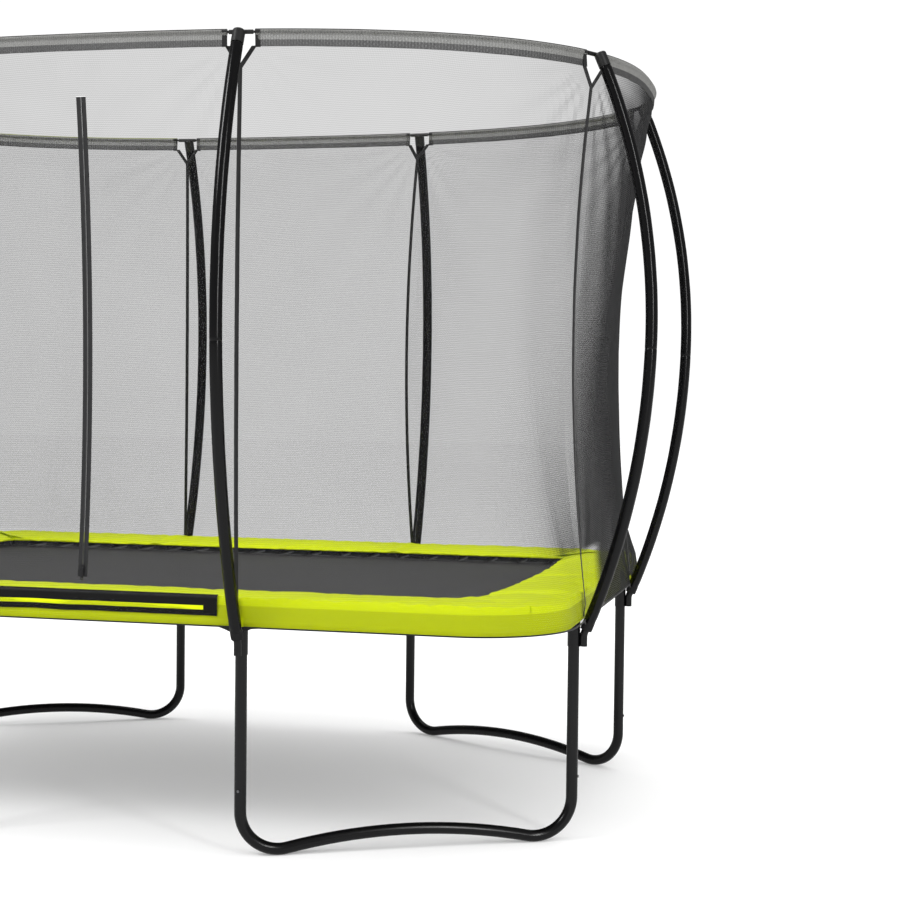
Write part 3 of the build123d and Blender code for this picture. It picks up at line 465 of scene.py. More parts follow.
NET_CLOTH = netting("net_cloth", rgb(30, 30, 31), 0.893)
HEM_CLOTH = netting("hem_cloth", rgb(102, 102, 100), 0.41, uneven=0.2)
HEM_BAND = netting("hem_band", rgb(58, 58, 58), 0.3, uneven=0.2)
NET_BINDING = woven("net_binding", rgb(10, 10, 11), 0.75, (0.002, 0.002))
WEBBING = woven("webbing", rgb(20, 20, 21), 0.7, (0.0022, 0.0036))
OLIVE_PIPING = woven("olive_piping", rgb(120, 128, 40), 0.6, (0.002, 0.002))
MAT_CLOTH = woven("mat_cloth", rgb(30, 29, 31), 0.62, (0.0026, 0.0026), cloud=0.7, cloud_scale=5)
MAT_WEBBING = woven("mat_webbing", rgb(30, 29, 31), 0.7, (0.002, 0.004), 0.0004)
THREAD = plastic("thread", rgb(150, 150, 150), 0.6)
PAD_VINYL = vinyl("pad_vinyl", rgb(213, 229, 1), 0.5, 0.0007, 13, specular=0.12)
# The drop face takes a darker copy of the pad's lime vinyl: painted shade on the upright face.
PAD_DROP_SHADED_VINYL = vinyl("pad_drop_shaded_vinyl", rgb(184, 197, 0), 0.5, 0.0008, 16, specular=0.12)
# Black underside vinyl, as many pads have, also made black as painted shade in the hollow under the pads' inner
# lip.
PAD_UNDER_SHADE = vinyl("pad_under_shade", rgb(16, 16, 16), 0.6, 0.0004, 30, specular=0.15)
MARKER_BLACK = vinyl("marker_black", rgb(14, 14, 14), 0.45, 0.0004, 30, specular=0.2)
MARKER_LIME = vinyl("marker_lime", rgb(204, 218, 3), 0.45, 0.0004, 30, specular=0.12)
ZIP_METAL = painted("zip_metal", rgb(26, 26, 27), 0.3)


ZIP_TEETH_HALF = 0.0032


def zip_cloth():
    """Tape of the zip, with moulded teeth along the middle."""
    n = Nodes("zip_cloth")
    place = n.split("Object")
    middle = n.maths("LESS_THAN", n.maths("ABSOLUTE", place[0]), ZIP_TEETH_HALF)
    teeth = n.times(middle, n.wave(place[2], 0.004))
    ribs = n.times(n.wave(place[0], 0.0018), 0.15)
    paleness = n.plus(n.times(middle, 0.5), n.range(n.noise(60, 3), 0.0, 0.3))
    tint = n.mix(paleness, rgb(20, 20, 21), rgb(60, 60, 62))
    rough = n.range(middle, 0.8, 0.4)
    return n.end(n.surface(Base_Color=tint, Roughness=rough, Normal=n.bump(n.plus(teeth, ribs), 0.0006)))


# Looks of the CAD nodes that stay, by the start of their names; a later row goes before an earlier one.
KEPT_LOOKS = (
    ("frame_", FRAME_PAINT),
    ("t_socket", SOCKET_PAINT),
    ("leg_", LEG_PAINT),
    ("pole_", POLE_PAINT),
    ("pole_caps", CAP_PLASTIC),
    ("ring_rods", ROD_PLASTIC),
    ("frame_screws", ZINC),
    ("zip_", ZIP_METAL),
    ("door_zip", zip_cloth()),
)
for node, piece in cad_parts.items():
    for start, material in KEPT_LOOKS:
        if node.startswith(start):
            piece.data.materials.clear()
            piece.data.materials.append(material)

# ---- padded pole sleeves

POLE_BELLY = 0.240
BELLY_Z = 1.700
LOWER_ARC = 2.600
UPPER_ARC = 2.205
POLE_JOINT = 1.620
JOINT_LAP = 0.0012
SLEEVE_TOP = 2.532
SLEEVE_RADIUS = 0.0197
SLEEVE_BORE = 0.0145
CUFF = 0.035


def pole_point(place, height):
    foot, out = STATIONS[place]
    radius = LOWER_ARC if height < BELLY_Z else UPPER_ARC
    offset = POLE_BELLY - radius + math.sqrt(radius**2 - (height - BELLY_Z) ** 2)
    return foot + out * offset + Vector((0, 0, height))


def add_sleeve(shells, place, low, high, cuff, seed):
    """One sleeve: a thick tube of foam under vinyl, gathered at its ends, with a sewn seam towards the net."""
    ends = (low + np.array([0.0, 0.002, 0.005, cuff, cuff + 0.002]), high - np.array([0.0, 0.002, 0.005]))
    heights = merged(np.arange(low, high, 0.012), *ends)
    path = np.array([pole_point(place, z) for z in heights])
    around = 28
    turn = even_turns(around)
    outer = SLEEVE_RADIUS - 0.0012 * np.exp(-np.minimum(heights - low, high - heights) / 0.002)
    outer = outer - 0.0009 * np.exp(-(((heights - low - cuff) / 0.003) ** 2)) if cuff else outer
    seam = 0.0007 * np.exp(-(((turn + np.pi) % (2 * np.pi) - np.pi) ** 2) / 0.03)
    spots = (np.cos(turn)[None] * 0.6 + seed, np.sin(turn)[None] * 0.6, heights[:, None] * 9)
    dents = 0.00035 * field(np.stack(np.broadcast_arrays(*spots), axis=2), 1.6, seed)
    out = STATIONS[place][1]
    ring = spokes(*path_frames(path, (out.y, -out.x, 0)), around)
    outside = path[:, None] + (outer[:, None] + seam[None] + dents)[..., None] * ring
    inside = (path[:, None] + SLEEVE_BORE * ring)[::-1]
    faces = ring_faces(2 * len(heights), around, closed=True)
    cuff_rows = int(np.sum(heights <= low + cuff)) - 1 if cuff else 0
    slots = [1 if index // around < cuff_rows else 0 for index in range(len(faces))]
    shells.add(np.concatenate([outside, inside]), faces, slots)


for index, place in enumerate(STATIONS):
    shells = Shells()
    add_sleeve(shells, place, SLEEVE_LOW.z, POLE_JOINT + JOINT_LAP, CUFF, index * 3.1)
    add_sleeve(shells, place, POLE_JOINT - JOINT_LAP, SLEEVE_TOP, 0.0, index * 3.1 + 1.7)
    piece = shells.build("pole_sleeve_" + place, [SLEEVE_VINYL, CUFF_VINYL])
    finish_piece(piece, "pole_padding")

# ---- safety net

RING_Z = 2.574
RING_X = 1.660
RING_Y = 1.125
RING_EXPONENT = 2.55
NET_TOP = 2.528
CURVE_BOTTOM = 0.722
SHAPE_LOW = 0.832
SHAPE_HIGH = 2.560
NET_OFFSET = 0.043
NET_PULL = 0.065
SIDE_PULL = 0.012
CORNER_PULL = 0.140
STRAP_HALF = 0.0065
STRAP_LOW = 0.765
STRAP_FOOT = 0.742
STRAP_TUCK = 0.0095
STRAP_THICK = 0.0014
NOTCH_HALF = 0.0225
V_FOOT = 2.466
V_CROTCH = 2.480
V_OUTER = 0.050
V_INNER = 0.034
HEM_GAP = 0.042
EDGE_GAP = 0.003
BINDING_HEIGHT = 0.005
CORNER_DIP = 0.013
SLOT_HALF = 0.0165
ZIP_CUT = (ZIP_LOW.z - 0.002, ZIP_HIGH.z + 0.002)


def rounded_radius(angle, half_x, half_y, corner):
    """Distance from the middle to a rectangle with rounded corners, for each direction."""
    across, along = np.abs(np.cos(angle)), np.abs(np.sin(angle))
    flat_x, flat_y = half_x - corner, half_y - corner
    middle = flat_x * across + flat_y * along
    arc = middle + np.sqrt(np.maximum(middle**2 - flat_x**2 - flat_y**2 + corner**2, 0))
    radius = np.where(half_y * across < flat_x * along, half_y / np.maximum(along, 1e-9), arc)
    return np.where(half_x * along < flat_y * across, half_x / np.maximum(across, 1e-9), radius)


def ring_radius(angle):
    across = np.abs(np.cos(angle)) / RING_X
    along = np.abs(np.sin(angle)) / RING_Y
    return (across**RING_EXPONENT + along**RING_EXPONENT) ** (-1 / RING_EXPONENT)


SHORT_ANGLE = math.atan2(STATION_Y, HALF_X + NET_OFFSET)
LONG_ANGLE = math.atan2(HALF_Y + NET_OFFSET, STATION_X)


def extra_pull(angle):
    quarter = np.arctan2(np.abs(np.sin(angle)), np.abs(np.cos(angle)))
    share = np.clip((quarter - SHORT_ANGLE) / (LONG_ANGLE - SHORT_ANGLE), 0, 1)
    side = SIDE_PULL * np.cos(np.pi / 2 * np.minimum(quarter / SHORT_ANGLE, 1))
    return side + CORNER_PULL * np.sin(np.pi * share)


def net_xyz(angle, height):
    """Middle surface of the tight net, for arrays of directions and heights."""
    angle, height = np.broadcast_arrays(np.asarray(angle, float), np.asarray(height, float))
    rise = (height - CURVE_BOTTOM) / (SHAPE_HIGH - CURVE_BOTTOM)
    climb = np.clip((height - SHAPE_LOW) / (SHAPE_HIGH - SHAPE_LOW), 0, 1)
    low = rounded_radius(angle, HALF_X + NET_OFFSET, HALF_Y + NET_OFFSET, CORNER + NET_OFFSET)
    radius = low + (ring_radius(angle) - low) * climb
    radius = radius - 4 * rise * (1 - rise) * NET_PULL - 4 * climb * (1 - climb) * extra_pull(angle)
    return np.stack([radius * np.cos(angle), radius * np.sin(angle), height], axis=-1)


def strap_angle(place):
    foot, out = STATIONS[place]
    spot = foot + out * NET_OFFSET
    return math.atan2(spot.y, spot.x) % (2 * math.pi)


ROUND = sorted(STATIONS, key=strap_angle)
SPANS = list(zip(ROUND, ROUND[1:] + ROUND[:1]))


def along_side(place):
    """Unit vector along the side at a station, pointing the way the angles grow."""
    out = STATIONS[place][1]
    return np.array([-out.y, out.x, 0.0])


def span_angles(first, last):
    start, end = strap_angle(first), strap_angle(last)
    return start, end if end > start else end + 2 * math.pi


def edge_offset(height):
    """How far a net panel keeps from the strap's middle line."""
    climb = np.clip((height - V_FOOT) / (NET_TOP - V_FOOT), 0, 1)
    spread = EDGE_GAP + (V_OUTER - 0.008 - EDGE_GAP) * climb
    return np.where(height < STRAP_LOW - 0.0005, NOTCH_HALF, spread)


ROWS = merged(
    [NET_BOTTOM, NET_BOTTOM + BINDING_HEIGHT / 2, NET_BOTTOM + BINDING_HEIGHT],
    np.linspace(NET_BOTTOM + 0.012, STRAP_LOW - 0.001, 4),
    [STRAP_LOW, STRAP_LOW + 0.012],
    np.linspace(STRAP_LOW + 0.025, ZIP_CUT[0], 5),
    np.linspace(*ZIP_CUT, 88),
    np.linspace(ZIP_CUT[1], V_FOOT, 5),
    np.linspace(V_FOOT, NET_TOP, 6),
    [NET_TOP + 0.006],
)


def panel_grid(first, last, door):
    """Points of one flat net panel before its wrinkles, row by row."""
    fine = np.linspace(*span_angles(first, last), 500)
    half = len(fine) // 2
    rows = []
    for height in ROWS:
        line = net_xyz(fine, height)
        edge = float(edge_offset(height))
        into = (line - line[0]) @ along_side(first)
        back = (line[-1] - line) @ along_side(last)
        low = np.interp(edge, into[:half], fine[:half])
        high = np.interp(-edge, -back[half:], fine[half:])
        if door:
            ends = [float(net_xyz(low, height)[0]), float(net_xyz(high, height)[0])]
            right_part = np.linspace(SLOT_HALF, ends[1], 27)
            across = np.concatenate([np.linspace(ends[0], -SLOT_HALF, 27), [0.0], right_part])
            angles = np.interp(across, line[:, 0], fine)
        else:
            part = np.linspace(low, high, 200)
            length = lengths_along(net_xyz(part, height))
            angles = np.interp(np.linspace(0, length[-1], 55), length, part)
        rows.append(net_xyz(angles, height))
    return np.array(rows)


def net_wrinkles(grid, door, seed):
    """How far each point of a panel stands out of the smooth shape: pulls from the corners and soft billows."""
    across = lengths_along(grid, 1)
    width = across[:, -1:]
    height = grid[..., 2]
    move = 0.005 * field(grid, 2.2, seed) + 0.0009 * field(grid, 8.0, seed + 5)
    for from_edge in (across, width - across):
        for level, strength, reach, count in ((NET_TOP, 0.0038, 0.5, 17), (NET_BOTTOM, 0.002, 0.28, 11)):
            fall = np.abs(level - height)
            distance = np.hypot(from_edge, fall)
            turn = np.arctan2(fall, from_edge)
            wave = np.sin(turn * count + 2.2 * field(grid, 1.3, seed + 9) + seed)
            move = move + strength * wave * np.exp(-distance / reach) * smoothstep(distance / 0.16)
    for from_rim in (across, width - across, NET_TOP + 0.006 - height):
        move = move * smoothstep(from_rim / 0.05)
    if door:
        move = move * smoothstep((np.abs(grid[..., 0]) - SLOT_HALF) / 0.07)
    return move


for index, (first, last) in enumerate(SPANS):
    door = first == "front_left"
    grid = panel_grid(first, last, door)
    grid = grid + grid_normals(grid) * net_wrinkles(grid, door, index * 7.3)[..., None]
    from_ends = np.minimum(*(np.linalg.norm(grid - edge, axis=2) for edge in (grid[:, :1], grid[:, -1:])))
    low_share = np.clip((NET_BOTTOM + BINDING_HEIGHT - grid[..., 2]) / BINDING_HEIGHT, 0, 1)
    grid[..., 2] -= CORNER_DIP * smoothstep(1 - from_ends / 0.035) * low_share
    keep = np.ones((len(ROWS) - 1, grid.shape[1] - 1), bool)
    if door:
        middle = (ROWS[:-1] + ROWS[1:]) / 2
        inside = (middle > ZIP_CUT[0]) & (middle < ZIP_CUT[1])
        keep[np.ix_(inside, [26, 27])] = False
    shells = Shells()
    add_sheet(shells, grid, 0.0008, 0, keep)
    add_sheet(shells, grid[ROWS <= NET_BOTTOM + BINDING_HEIGHT + 0.0005], 0.0026, 1)
    piece = shells.build("net_panel_" + first + "_to_" + last, [NET_CLOTH, NET_BINDING])
    finish_piece(piece, "safety_net")

# ---- hems round the ring


TUNNEL_RADIUS = 0.0072
BAND_TOP = RING_Z - 0.024


def hem_section():
    """The hem's section as (distance outside the ring line, height): a flat band under a round tunnel."""
    turns = np.linspace(-2.7, 2.7, 15)
    tunnel = [(TUNNEL_RADIUS * math.sin(t), RING_Z + TUNNEL_RADIUS * math.cos(t)) for t in turns]
    right, left = (
        [(face - 0.0030 * s, RING_Z - 0.010 - 0.034 * s) for s in np.linspace(0, 1, 6)]
        for face in (0.0012, -0.0014)
    )
    return np.array(tunnel + right + left[::-1])


HEM_SECTION = hem_section()


def ring_line(angles, height=0.0):
    radius = ring_radius(angles)
    return np.stack([radius * np.cos(angles), radius * np.sin(angles), np.full_like(angles, height)], 1)


def hem_rings(angles, grow=1.0, ripple=0.0, seed=0.0):
    """Rings of the hem's section along the oval."""
    line = ring_line(angles)
    tangent = np.gradient(line, axis=0)
    out = np.stack([tangent[:, 1], -tangent[:, 0], np.zeros(len(angles))], 1)
    out /= np.linalg.norm(out, axis=1)[:, None]
    middle = HEM_SECTION.mean(0)
    section = middle + (HEM_SECTION - middle) * grow
    rings = line[:, None] + out[:, None] * section[None, :, :1]
    rings[..., 2] += section[None, :, 1]
    if ripple:
        hang = np.clip((RING_Z - rings[..., 2]) / 0.04, 0, 1)
        rings = rings + out[:, None] * (ripple * field(rings, 14.0, seed) * hang)[..., None]
    return rings


for index, (first, last) in enumerate(SPANS):
    shells = Shells()
    start, end = span_angles(first, last)
    angles = np.linspace(start + HEM_GAP / ring_radius(start), end - HEM_GAP / ring_radius(end), 90)
    rings = hem_rings(angles, ripple=0.0025, seed=index * 4.0)
    around = rings.shape[1]
    faces = ring_faces(len(rings), around)
    heights = rings.reshape(-1, 3)[:, 2]
    band = [0 if len(face) > 4 or heights[list(face)].mean() > BAND_TOP else 1 for face in faces]
    flat_uv = np.stack(np.meshgrid(np.arange(around) * 0.004, angles, indexing="xy"), axis=2)
    shells.add(rings, faces, band, flat_uv)
    for end in (angles[0], angles[-1]):
        inward = 1 if end == angles[0] else -1
        reach = inward * 0.015 / ring_radius(end)
        spread = np.linspace(end - inward * 0.0004, end + reach, 6)
        binding = hem_rings(spread, grow=1.06)
        shells.add(binding, ring_faces(len(binding), around), 2)
    add_tube(shells, ring_line(angles, HEM_TOP + 0.0002), 0.0017, 6, 2 if "right" in first + last else 3)
    piece = shells.build("net_hem_" + first + "_to_" + last, [HEM_CLOTH, HEM_BAND, WEBBING, OLIVE_PIPING])
    finish_piece(piece, "safety_net")

# ---- straps down the net


def beside(place, sideways, height, lift):
    """Points on the net a sideways distance from a strap's middle line, lifted off its surface."""
    sideways, height = np.broadcast_arrays(np.asarray(sideways, float), np.asarray(height, float))
    angle = strap_angle(place)
    step = 1e-3
    slope = (net_xyz(angle + step, height) - net_xyz(angle - step, height)) / (2 * step)
    rate = slope @ along_side(place)
    return net_xyz(angle + sideways / rate, height) + np.array(STATIONS[place][1]) * lift


for index, place in enumerate(ROUND):
    shells = Shells()
    out = np.array(STATIONS[place][1])
    share = np.linspace(-1, 1, 7)
    heights = np.linspace(STRAP_FOOT, V_FOOT, 140)
    rows = []
    for level, height in enumerate(heights):
        crown = V_CROTCH - V_FOOT if level == len(heights) - 1 else 0.0
        tuck = STRAP_TUCK * smoothstep((STRAP_LOW + 0.02 - height) / 0.043)
        rows.append(beside(place, share * STRAP_HALF, height + crown * (1 - np.abs(share)), 0.0013 - tuck))
    band = np.array(rows)
    add_sheet(shells, band + out * 0.0008 * field(band[:, 3:4], 9.0, index)[..., None], STRAP_THICK)
    for side in (-1, 1):
        run = np.linspace(0, 1, 12)[:, None]
        width = np.linspace(0, 1, 5)[None]
        inner_z = V_CROTCH + (NET_TOP + 0.004 - V_CROTCH) * run
        outer_z = V_FOOT + (NET_TOP + 0.004 - V_FOOT) * run
        sideways = side * (V_INNER * run * (1 - width) + (STRAP_HALF + (V_OUTER - STRAP_HALF) * run) * width)
        arm = beside(place, sideways, inner_z * (1 - width) + outer_z * width, 0.0016)
        add_sheet(shells, arm, STRAP_THICK)
    piece = shells.build("net_strap_" + place, [WEBBING])
    finish_piece(piece, "net_straps")

# ---- pads

PAD_SIDES = {
    "front": (np.array([1.0, 0, 0]), np.array([0, -1.0, 0]), HALF_X, HALF_Y),
    "rear": (np.array([-1.0, 0, 0]), np.array([0, 1.0, 0]), HALF_X, HALF_Y),
    "left": (np.array([0, -1.0, 0]), np.array([-1.0, 0, 0]), HALF_Y, HALF_X),
    "right": (np.array([0, 1.0, 0]), np.array([1.0, 0, 0]), HALF_Y, HALF_X),
}
PAD_INNER_TOP = PAD_TOP - 0.017
PAD_SEAT = PAD_TOP - 0.027
EDGE_ROUND = 0.010
STEP = 0.013
CORNER_IN = -0.022
CORNER_OUT = 0.030
EDGE_BOW = 0.034
PUCKER = {"front": 0.0, "rear": 0.005, "left": 0.003, "right": 0.003}
END_RING = 0.0015
LONG_SIDES = ("front", "rear")


def pad_outline(run, reach, columns, long_side):
    """Outer and inner plan points of a pad's columns; the soft inner corners are a little out of square."""
    corner = CORNER + PAD_OFFSET
    straight = run - CORNER
    length = straight + corner * math.pi / 4
    even = 0.78 * straight
    inner_end = run + PAD_OFFSET - PAD_WIDTH
    outer_points, inner_points = [], []
    even_steps = np.linspace(-length, length, columns)
    for s in np.sort(np.append(even_steps, [END_RING - length, length - END_RING])):
        sign = 1 if s >= 0 else -1
        s = abs(s)
        turn = max(0.0, s - straight) / corner
        sideways = sign * (min(s, straight) + corner * math.sin(turn))
        outer_points.append((sideways, reach - CORNER + corner * math.cos(turn)))
        stop = inner_end + (CORNER_IN if sign > 0 else CORNER_OUT) * long_side
        inner = s if s < even else even + (stop - even) * (s - even) / (length - even)
        share = sign * s / length
        skew = CORNER_IN * (1 - share) / 2 + CORNER_OUT * (1 + share) / 2
        skew += EDGE_BOW * math.cos(math.pi * share / 2) ** 2
        inner_points.append((sign * inner, reach + PAD_OFFSET - PAD_WIDTH + (0 if long_side else skew)))
    return np.array(outer_points), np.array(inner_points)


def pad_section():
    """(distance in from the outer edge, height) round the foam, and how many points belong to the top."""
    outer = [(0.0, PAD_SEAT + h) for h in (0.0, 0.006, 0.013)]
    turns = np.linspace(0.3, 1.5, 4)
    bend = [(EDGE_ROUND * (1 - math.cos(t)), PAD_TOP - EDGE_ROUND + EDGE_ROUND * math.sin(t)) for t in turns]
    span = np.linspace(0.020, PAD_WIDTH - 0.010, 22)
    top = [(d, PAD_TOP - (PAD_TOP - PAD_INNER_TOP) * d / PAD_WIDTH) for d in span]
    lip = [(PAD_WIDTH - 0.003, PAD_INNER_TOP - 0.001), (PAD_WIDTH, PAD_INNER_TOP - 0.004)]
    under = [(d, PAD_SEAT) for d in np.linspace(PAD_WIDTH - 0.002, 0.004, 20)]
    upper = outer + bend + top + lip + [(PAD_WIDTH, PAD_SEAT + 0.003)]
    return np.array(upper + under), len(upper)


SECTION, TOP_COUNT = pad_section()
PAD_SETTLE = {"front": 0.004, "rear": -0.008, "left": 0.0, "right": 0.0}


CLOTH = {
    "quality": 4,
    "mass": 0.25,
    "tension_stiffness": 18,
    "compression_stiffness": 18,
    "shear_stiffness": 8,
    "bending_stiffness": 0.35,
    "use_pressure": True,
    "uniform_pressure_force": 0.6,
    "shrink_min": -0.035,
    "vertex_group_mass": "held",
}
CLOTH_FRAMES = 18
CLOTH_CAP = 0.007


def vertex_places(mesh):
    places = np.zeros(len(mesh.vertices) * 3, np.float32)
    mesh.vertices.foreach_get("co", places)
    return places


def cloth_settle(piece, held):
    """Inflates a padded cover a little and lets its loose cloth wrinkle, then keeps the result as the mesh."""
    group = piece.vertex_groups.new(name="held")
    for index, weight in enumerate(held):
        if weight > 0.001:
            group.add([index], float(weight), "REPLACE")
    before = vertex_places(piece.data)
    modifier = piece.modifiers.new("cloth", "CLOTH")
    for key, value in CLOTH.items():
        setattr(modifier.settings, key, value)
    modifier.settings.effector_weights.gravity = 0
    modifier.collision_settings.use_collision = False
    for step in range(1, CLOTH_FRAMES + 1):
        SCENE.frame_set(step)
    shaped = piece.evaluated_get(bpy.context.evaluated_depsgraph_get())
    move = (vertex_places(shaped.data) - before).reshape(-1, 3)
    piece.modifiers.remove(modifier)
    piece.vertex_groups.clear()
    SCENE.frame_set(1)
    size = np.linalg.norm(move, axis=1)
    limited = CLOTH_CAP * np.tanh(size / CLOTH_CAP)
    move *= (limited / np.maximum(size, 1e-9))[:, None]
    piece.data.vertices.foreach_set("co", (before.reshape(-1, 3) + move).ravel())
    piece.data.update()


UP = np.array([0, 0, 1.0])
LAP_START = 0.35
LAP_SPREAD = np.array([-0.009, -0.0085, 0.0, 0.012, 0.030, 0.050])
LAP_RISE = np.array([0.0075, 0.0085, 0.0095, 0.0075, 0.0035, 0.0005])


def add_lap(shells, line, share, inward):
    """The flap of a long pad that laps over its neighbour along the mitre, from the inner corner outward."""
    across = np.linspace(LAP_START, 0.995, 16)
    order = np.argsort(share[:TOP_COUNT])
    known = share[:TOP_COUNT][order]
    spots = np.stack([np.interp(across, known, line[:TOP_COUNT][order, k]) for k in range(3)], 1)
    spots[:, 2] = PAD_TOP - (PAD_TOP - PAD_INNER_TOP) * across + 0.002
    fade = smoothstep((across - LAP_START) / 0.3)
    grid = spots[:, None] + inward[None, None] * LAP_SPREAD[None, :, None]
    grid[..., 2] += LAP_RISE[None] * fade[:, None]
    add_sheet(shells, grid, 0.0022)


def make_pad(name, along, out, run, reach, seed):
    corner = CORNER + PAD_OFFSET
    length = 2 * (run - CORNER + corner * math.pi / 4)
    long_side = name in LONG_SIDES
    outer, inner = pad_outline(run, reach, int(length / STEP) | 1, long_side)
    columns = len(outer)

    def lift(plan):
        return plan[..., :1] * along + plan[..., 1:] * out

    share = SECTION[:, 0] / PAD_WIDTH
    plan = outer[:, None] * (1 - share)[None, :, None] + inner[:, None] * share[None, :, None]
    rings = lift(plan) + SECTION[None, :, 1:] * UP
    from_mitre = np.minimum(*(np.linalg.norm(plan - end, axis=2) for end in (plan[:1], plan[-1:])))
    top = (np.arange(len(SECTION)) < TOP_COUNT).astype(float)[None]
    crown = np.sin(np.pi * np.clip(share, 0, 1))[None] * top
    soft = 0.0035 * field(rings, 5.0, seed) + 0.0016 * field(rings, 17.0, seed + 3) + 0.001
    dip = 0.0 if long_side else -0.003
    ridge = dip * np.exp(-((from_mitre / 0.020) ** 2)) * smoothstep((share - 0.2) / 0.4)[None] * top
    at_pole = np.abs(plan[..., 0]) - (STATION_X if long_side else STATION_Y)
    pucker = PUCKER[name] * np.exp(-((at_pole / 0.020) ** 2)) * smoothstep(share / 0.3)[None] * top
    lean = PAD_SETTLE[name] * (1 - share)[None] * (SECTION[:, 1] - PAD_SEAT)[None] / (PAD_TOP - PAD_SEAT)
    rings = rings + UP * (soft * crown + ridge + pucker + lean * top)[..., None]
    shells = Shells()
    around = len(SECTION)
    faces = ring_faces(columns, around)
    # Underside faces take the black underside vinyl, which is partly painted shade under the lip.
    under = [1 if len(face) == 4 and index % around >= TOP_COUNT else 0 for index, face in enumerate(faces)]
    shells.add(rings, faces, under)
    if long_side:
        for end, inward in ((0, along), (-1, -along)):
            add_lap(shells, lift(plan[end]), share, inward)
    piece = shells.build("pad_" + name + "_cover", [PAD_VINYL, PAD_UNDER_SHADE])
    free = np.zeros(around)
    free[3:TOP_COUNT - 1] = 1.0
    ends = np.minimum(np.arange(columns), np.arange(columns)[::-1])
    loose = free[None] * (ends > 1)[:, None]
    seam = np.abs(SECTION[:, 0] - 0.032) < 0.004
    loose[:, seam & (np.arange(around) < TOP_COUNT)] = 0.15
    held = np.ones(len(piece.data.vertices))
    held[: columns * around] = (1.0 - loose).ravel()
    cloth_settle(piece, held)
    smooth = piece.modifiers.new("smooth", "SUBSURF")
    smooth.levels = smooth.render_levels = 1
    return piece, outer, lift


def make_drop(name, outer, lift, seed):
    """The cover's drop face outside the ring tube, with a turned hem along its lower edge."""
    line = lift(outer)
    tangent = np.gradient(line, axis=0)
    tangent /= np.linalg.norm(tangent, axis=1)[:, None]
    outward = np.cross(tangent, UP)
    if (outward[len(outward) // 2] @ lift(np.array([[0.0, 1.0]]))[0]) < 0:
        outward = -outward
    levels = np.concatenate([
        PAD_SEAT + np.array([0.010, 0.0, -0.010, -0.020, -0.030, -0.040]),
        PAD_DROP + np.array([0.0205, 0.019, 0.010, 0.002, 0.0]),
    ])
    hang = np.clip((PAD_SEAT - levels) / (PAD_SEAT - PAD_DROP), 0, 1)
    grid = line[None] + np.zeros((len(levels), 1, 3))
    grid[..., 2] = levels[:, None]
    wave = 0.5 + 0.5 * np.sin(grid[..., 0] * 31 + grid[..., 1] * 27 + 4 * field(grid, 2.0, seed))
    billow = 0.0045 * (0.5 + 0.5 * field(grid * np.array([1, 1, 0.2]), 6.0, seed)) + 0.0015 * wave
    grid = grid + outward[None] * (billow * hang[:, None] - 0.0016)[..., None]
    shells = Shells()
    add_sheet(shells, grid, np.where(levels < PAD_DROP + 0.0198, 0.0034, 0.0022)[:, None])
    add_stitches(shells, grid[7] + outward * 0.0019, 0.008, 0.012)
    # The drop face is in the darker lime, which is painted shade; its stitches are in the top's lime.
    return shells.build("pad_" + name + "_drop", [PAD_DROP_SHADED_VINYL, PAD_VINYL])


for index, (name, (along, out, run, reach)) in enumerate(PAD_SIDES.items()):
    cover, outer, lift = make_pad(name, along, out, run, reach, index * 11.0)
    finish_piece(cover, "pad_" + name)
    finish_piece(make_drop(name, outer, lift, index * 5.0), "pad_" + name)


def make_marker():
    """The entry marker on the front pad: a black band with a lime stripe and a black square at each end."""
    half = 0.46
    square = 0.046
    face = -(HALF_Y + PAD_OFFSET)
    low = PAD_DROP + 0.031
    top = PAD_TOP + 0.004
    path = [(face - 0.0034, z) for z in np.linspace(low, top - 0.011, 21)]
    turns = np.linspace(0.15, 1.3, 6)
    path += [(face + 0.010 - 0.0128 * math.cos(t), top - 0.010 + 0.0128 * math.sin(t)) for t in turns]
    across = merged(np.linspace(-half, half, 93), [-half + square, half - square])
    grid = np.array([[(x, y, z) for x in across] for y, z in path])
    fade = np.linspace(1, 0.1, len(path))[:, None]
    grid[..., 2] += 0.0022 * field(grid * np.array([1, 0, 0]) + 3.0, 9.0) * fade
    grid[..., 1] -= 0.0016 * np.abs(field(grid, 11.0, 2.0)) * fade + 0.0006
    shells = Shells()
    heights = np.array([z for _, z in path])
    middle = (heights[:-1] + heights[1:]) / 2
    columns = (across[:-1] + across[1:]) / 2
    stripe = (middle > low + 0.0190) & (middle < low + 0.0325)
    lime = np.outer(stripe, np.abs(columns) < half - square)
    for slot, keep in ((1, lime), (0, ~lime)):
        add_sheet(shells, grid, 0.0012, slot, keep)
    finish_piece(shells.build("pad_marker", [MARKER_BLACK, MARKER_LIME]))


make_marker()

# ---- mat, V-rings and springs

RAMP = 0.75
PITCH = 0.130
LONG_COUNT = 19
SHORT_COUNT = 12
STITCH_LIFT = 0.0034


def blend_side(piece):
    """Bakes a piece's placement into its own mesh."""
    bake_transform(piece)


def mat_outline(side, count):
    """Plan points of the mat's edge along one side, from the middle of one corner to the middle of the next."""
    along, out = PAD_SIDES[side][:2]
    half, depth = (MAT_X, MAT_Y) if side in LONG_SIDES else (MAT_Y, MAT_X)
    straight = half - MAT_CORNER
    length = straight + MAT_CORNER * math.pi / 4
    points = []
    for s in np.linspace(-length, length, count):
        turn = max(0.0, abs(s) - straight) / MAT_CORNER
        sideways = math.copysign(min(abs(s), straight) + MAT_CORNER * math.sin(turn), s)
        points.append(sideways * along + (depth - MAT_CORNER + MAT_CORNER * math.cos(turn)) * out)
    return np.array(points)


INNER_X = HALF_X - RAMP
INNER_Y = HALF_Y - RAMP


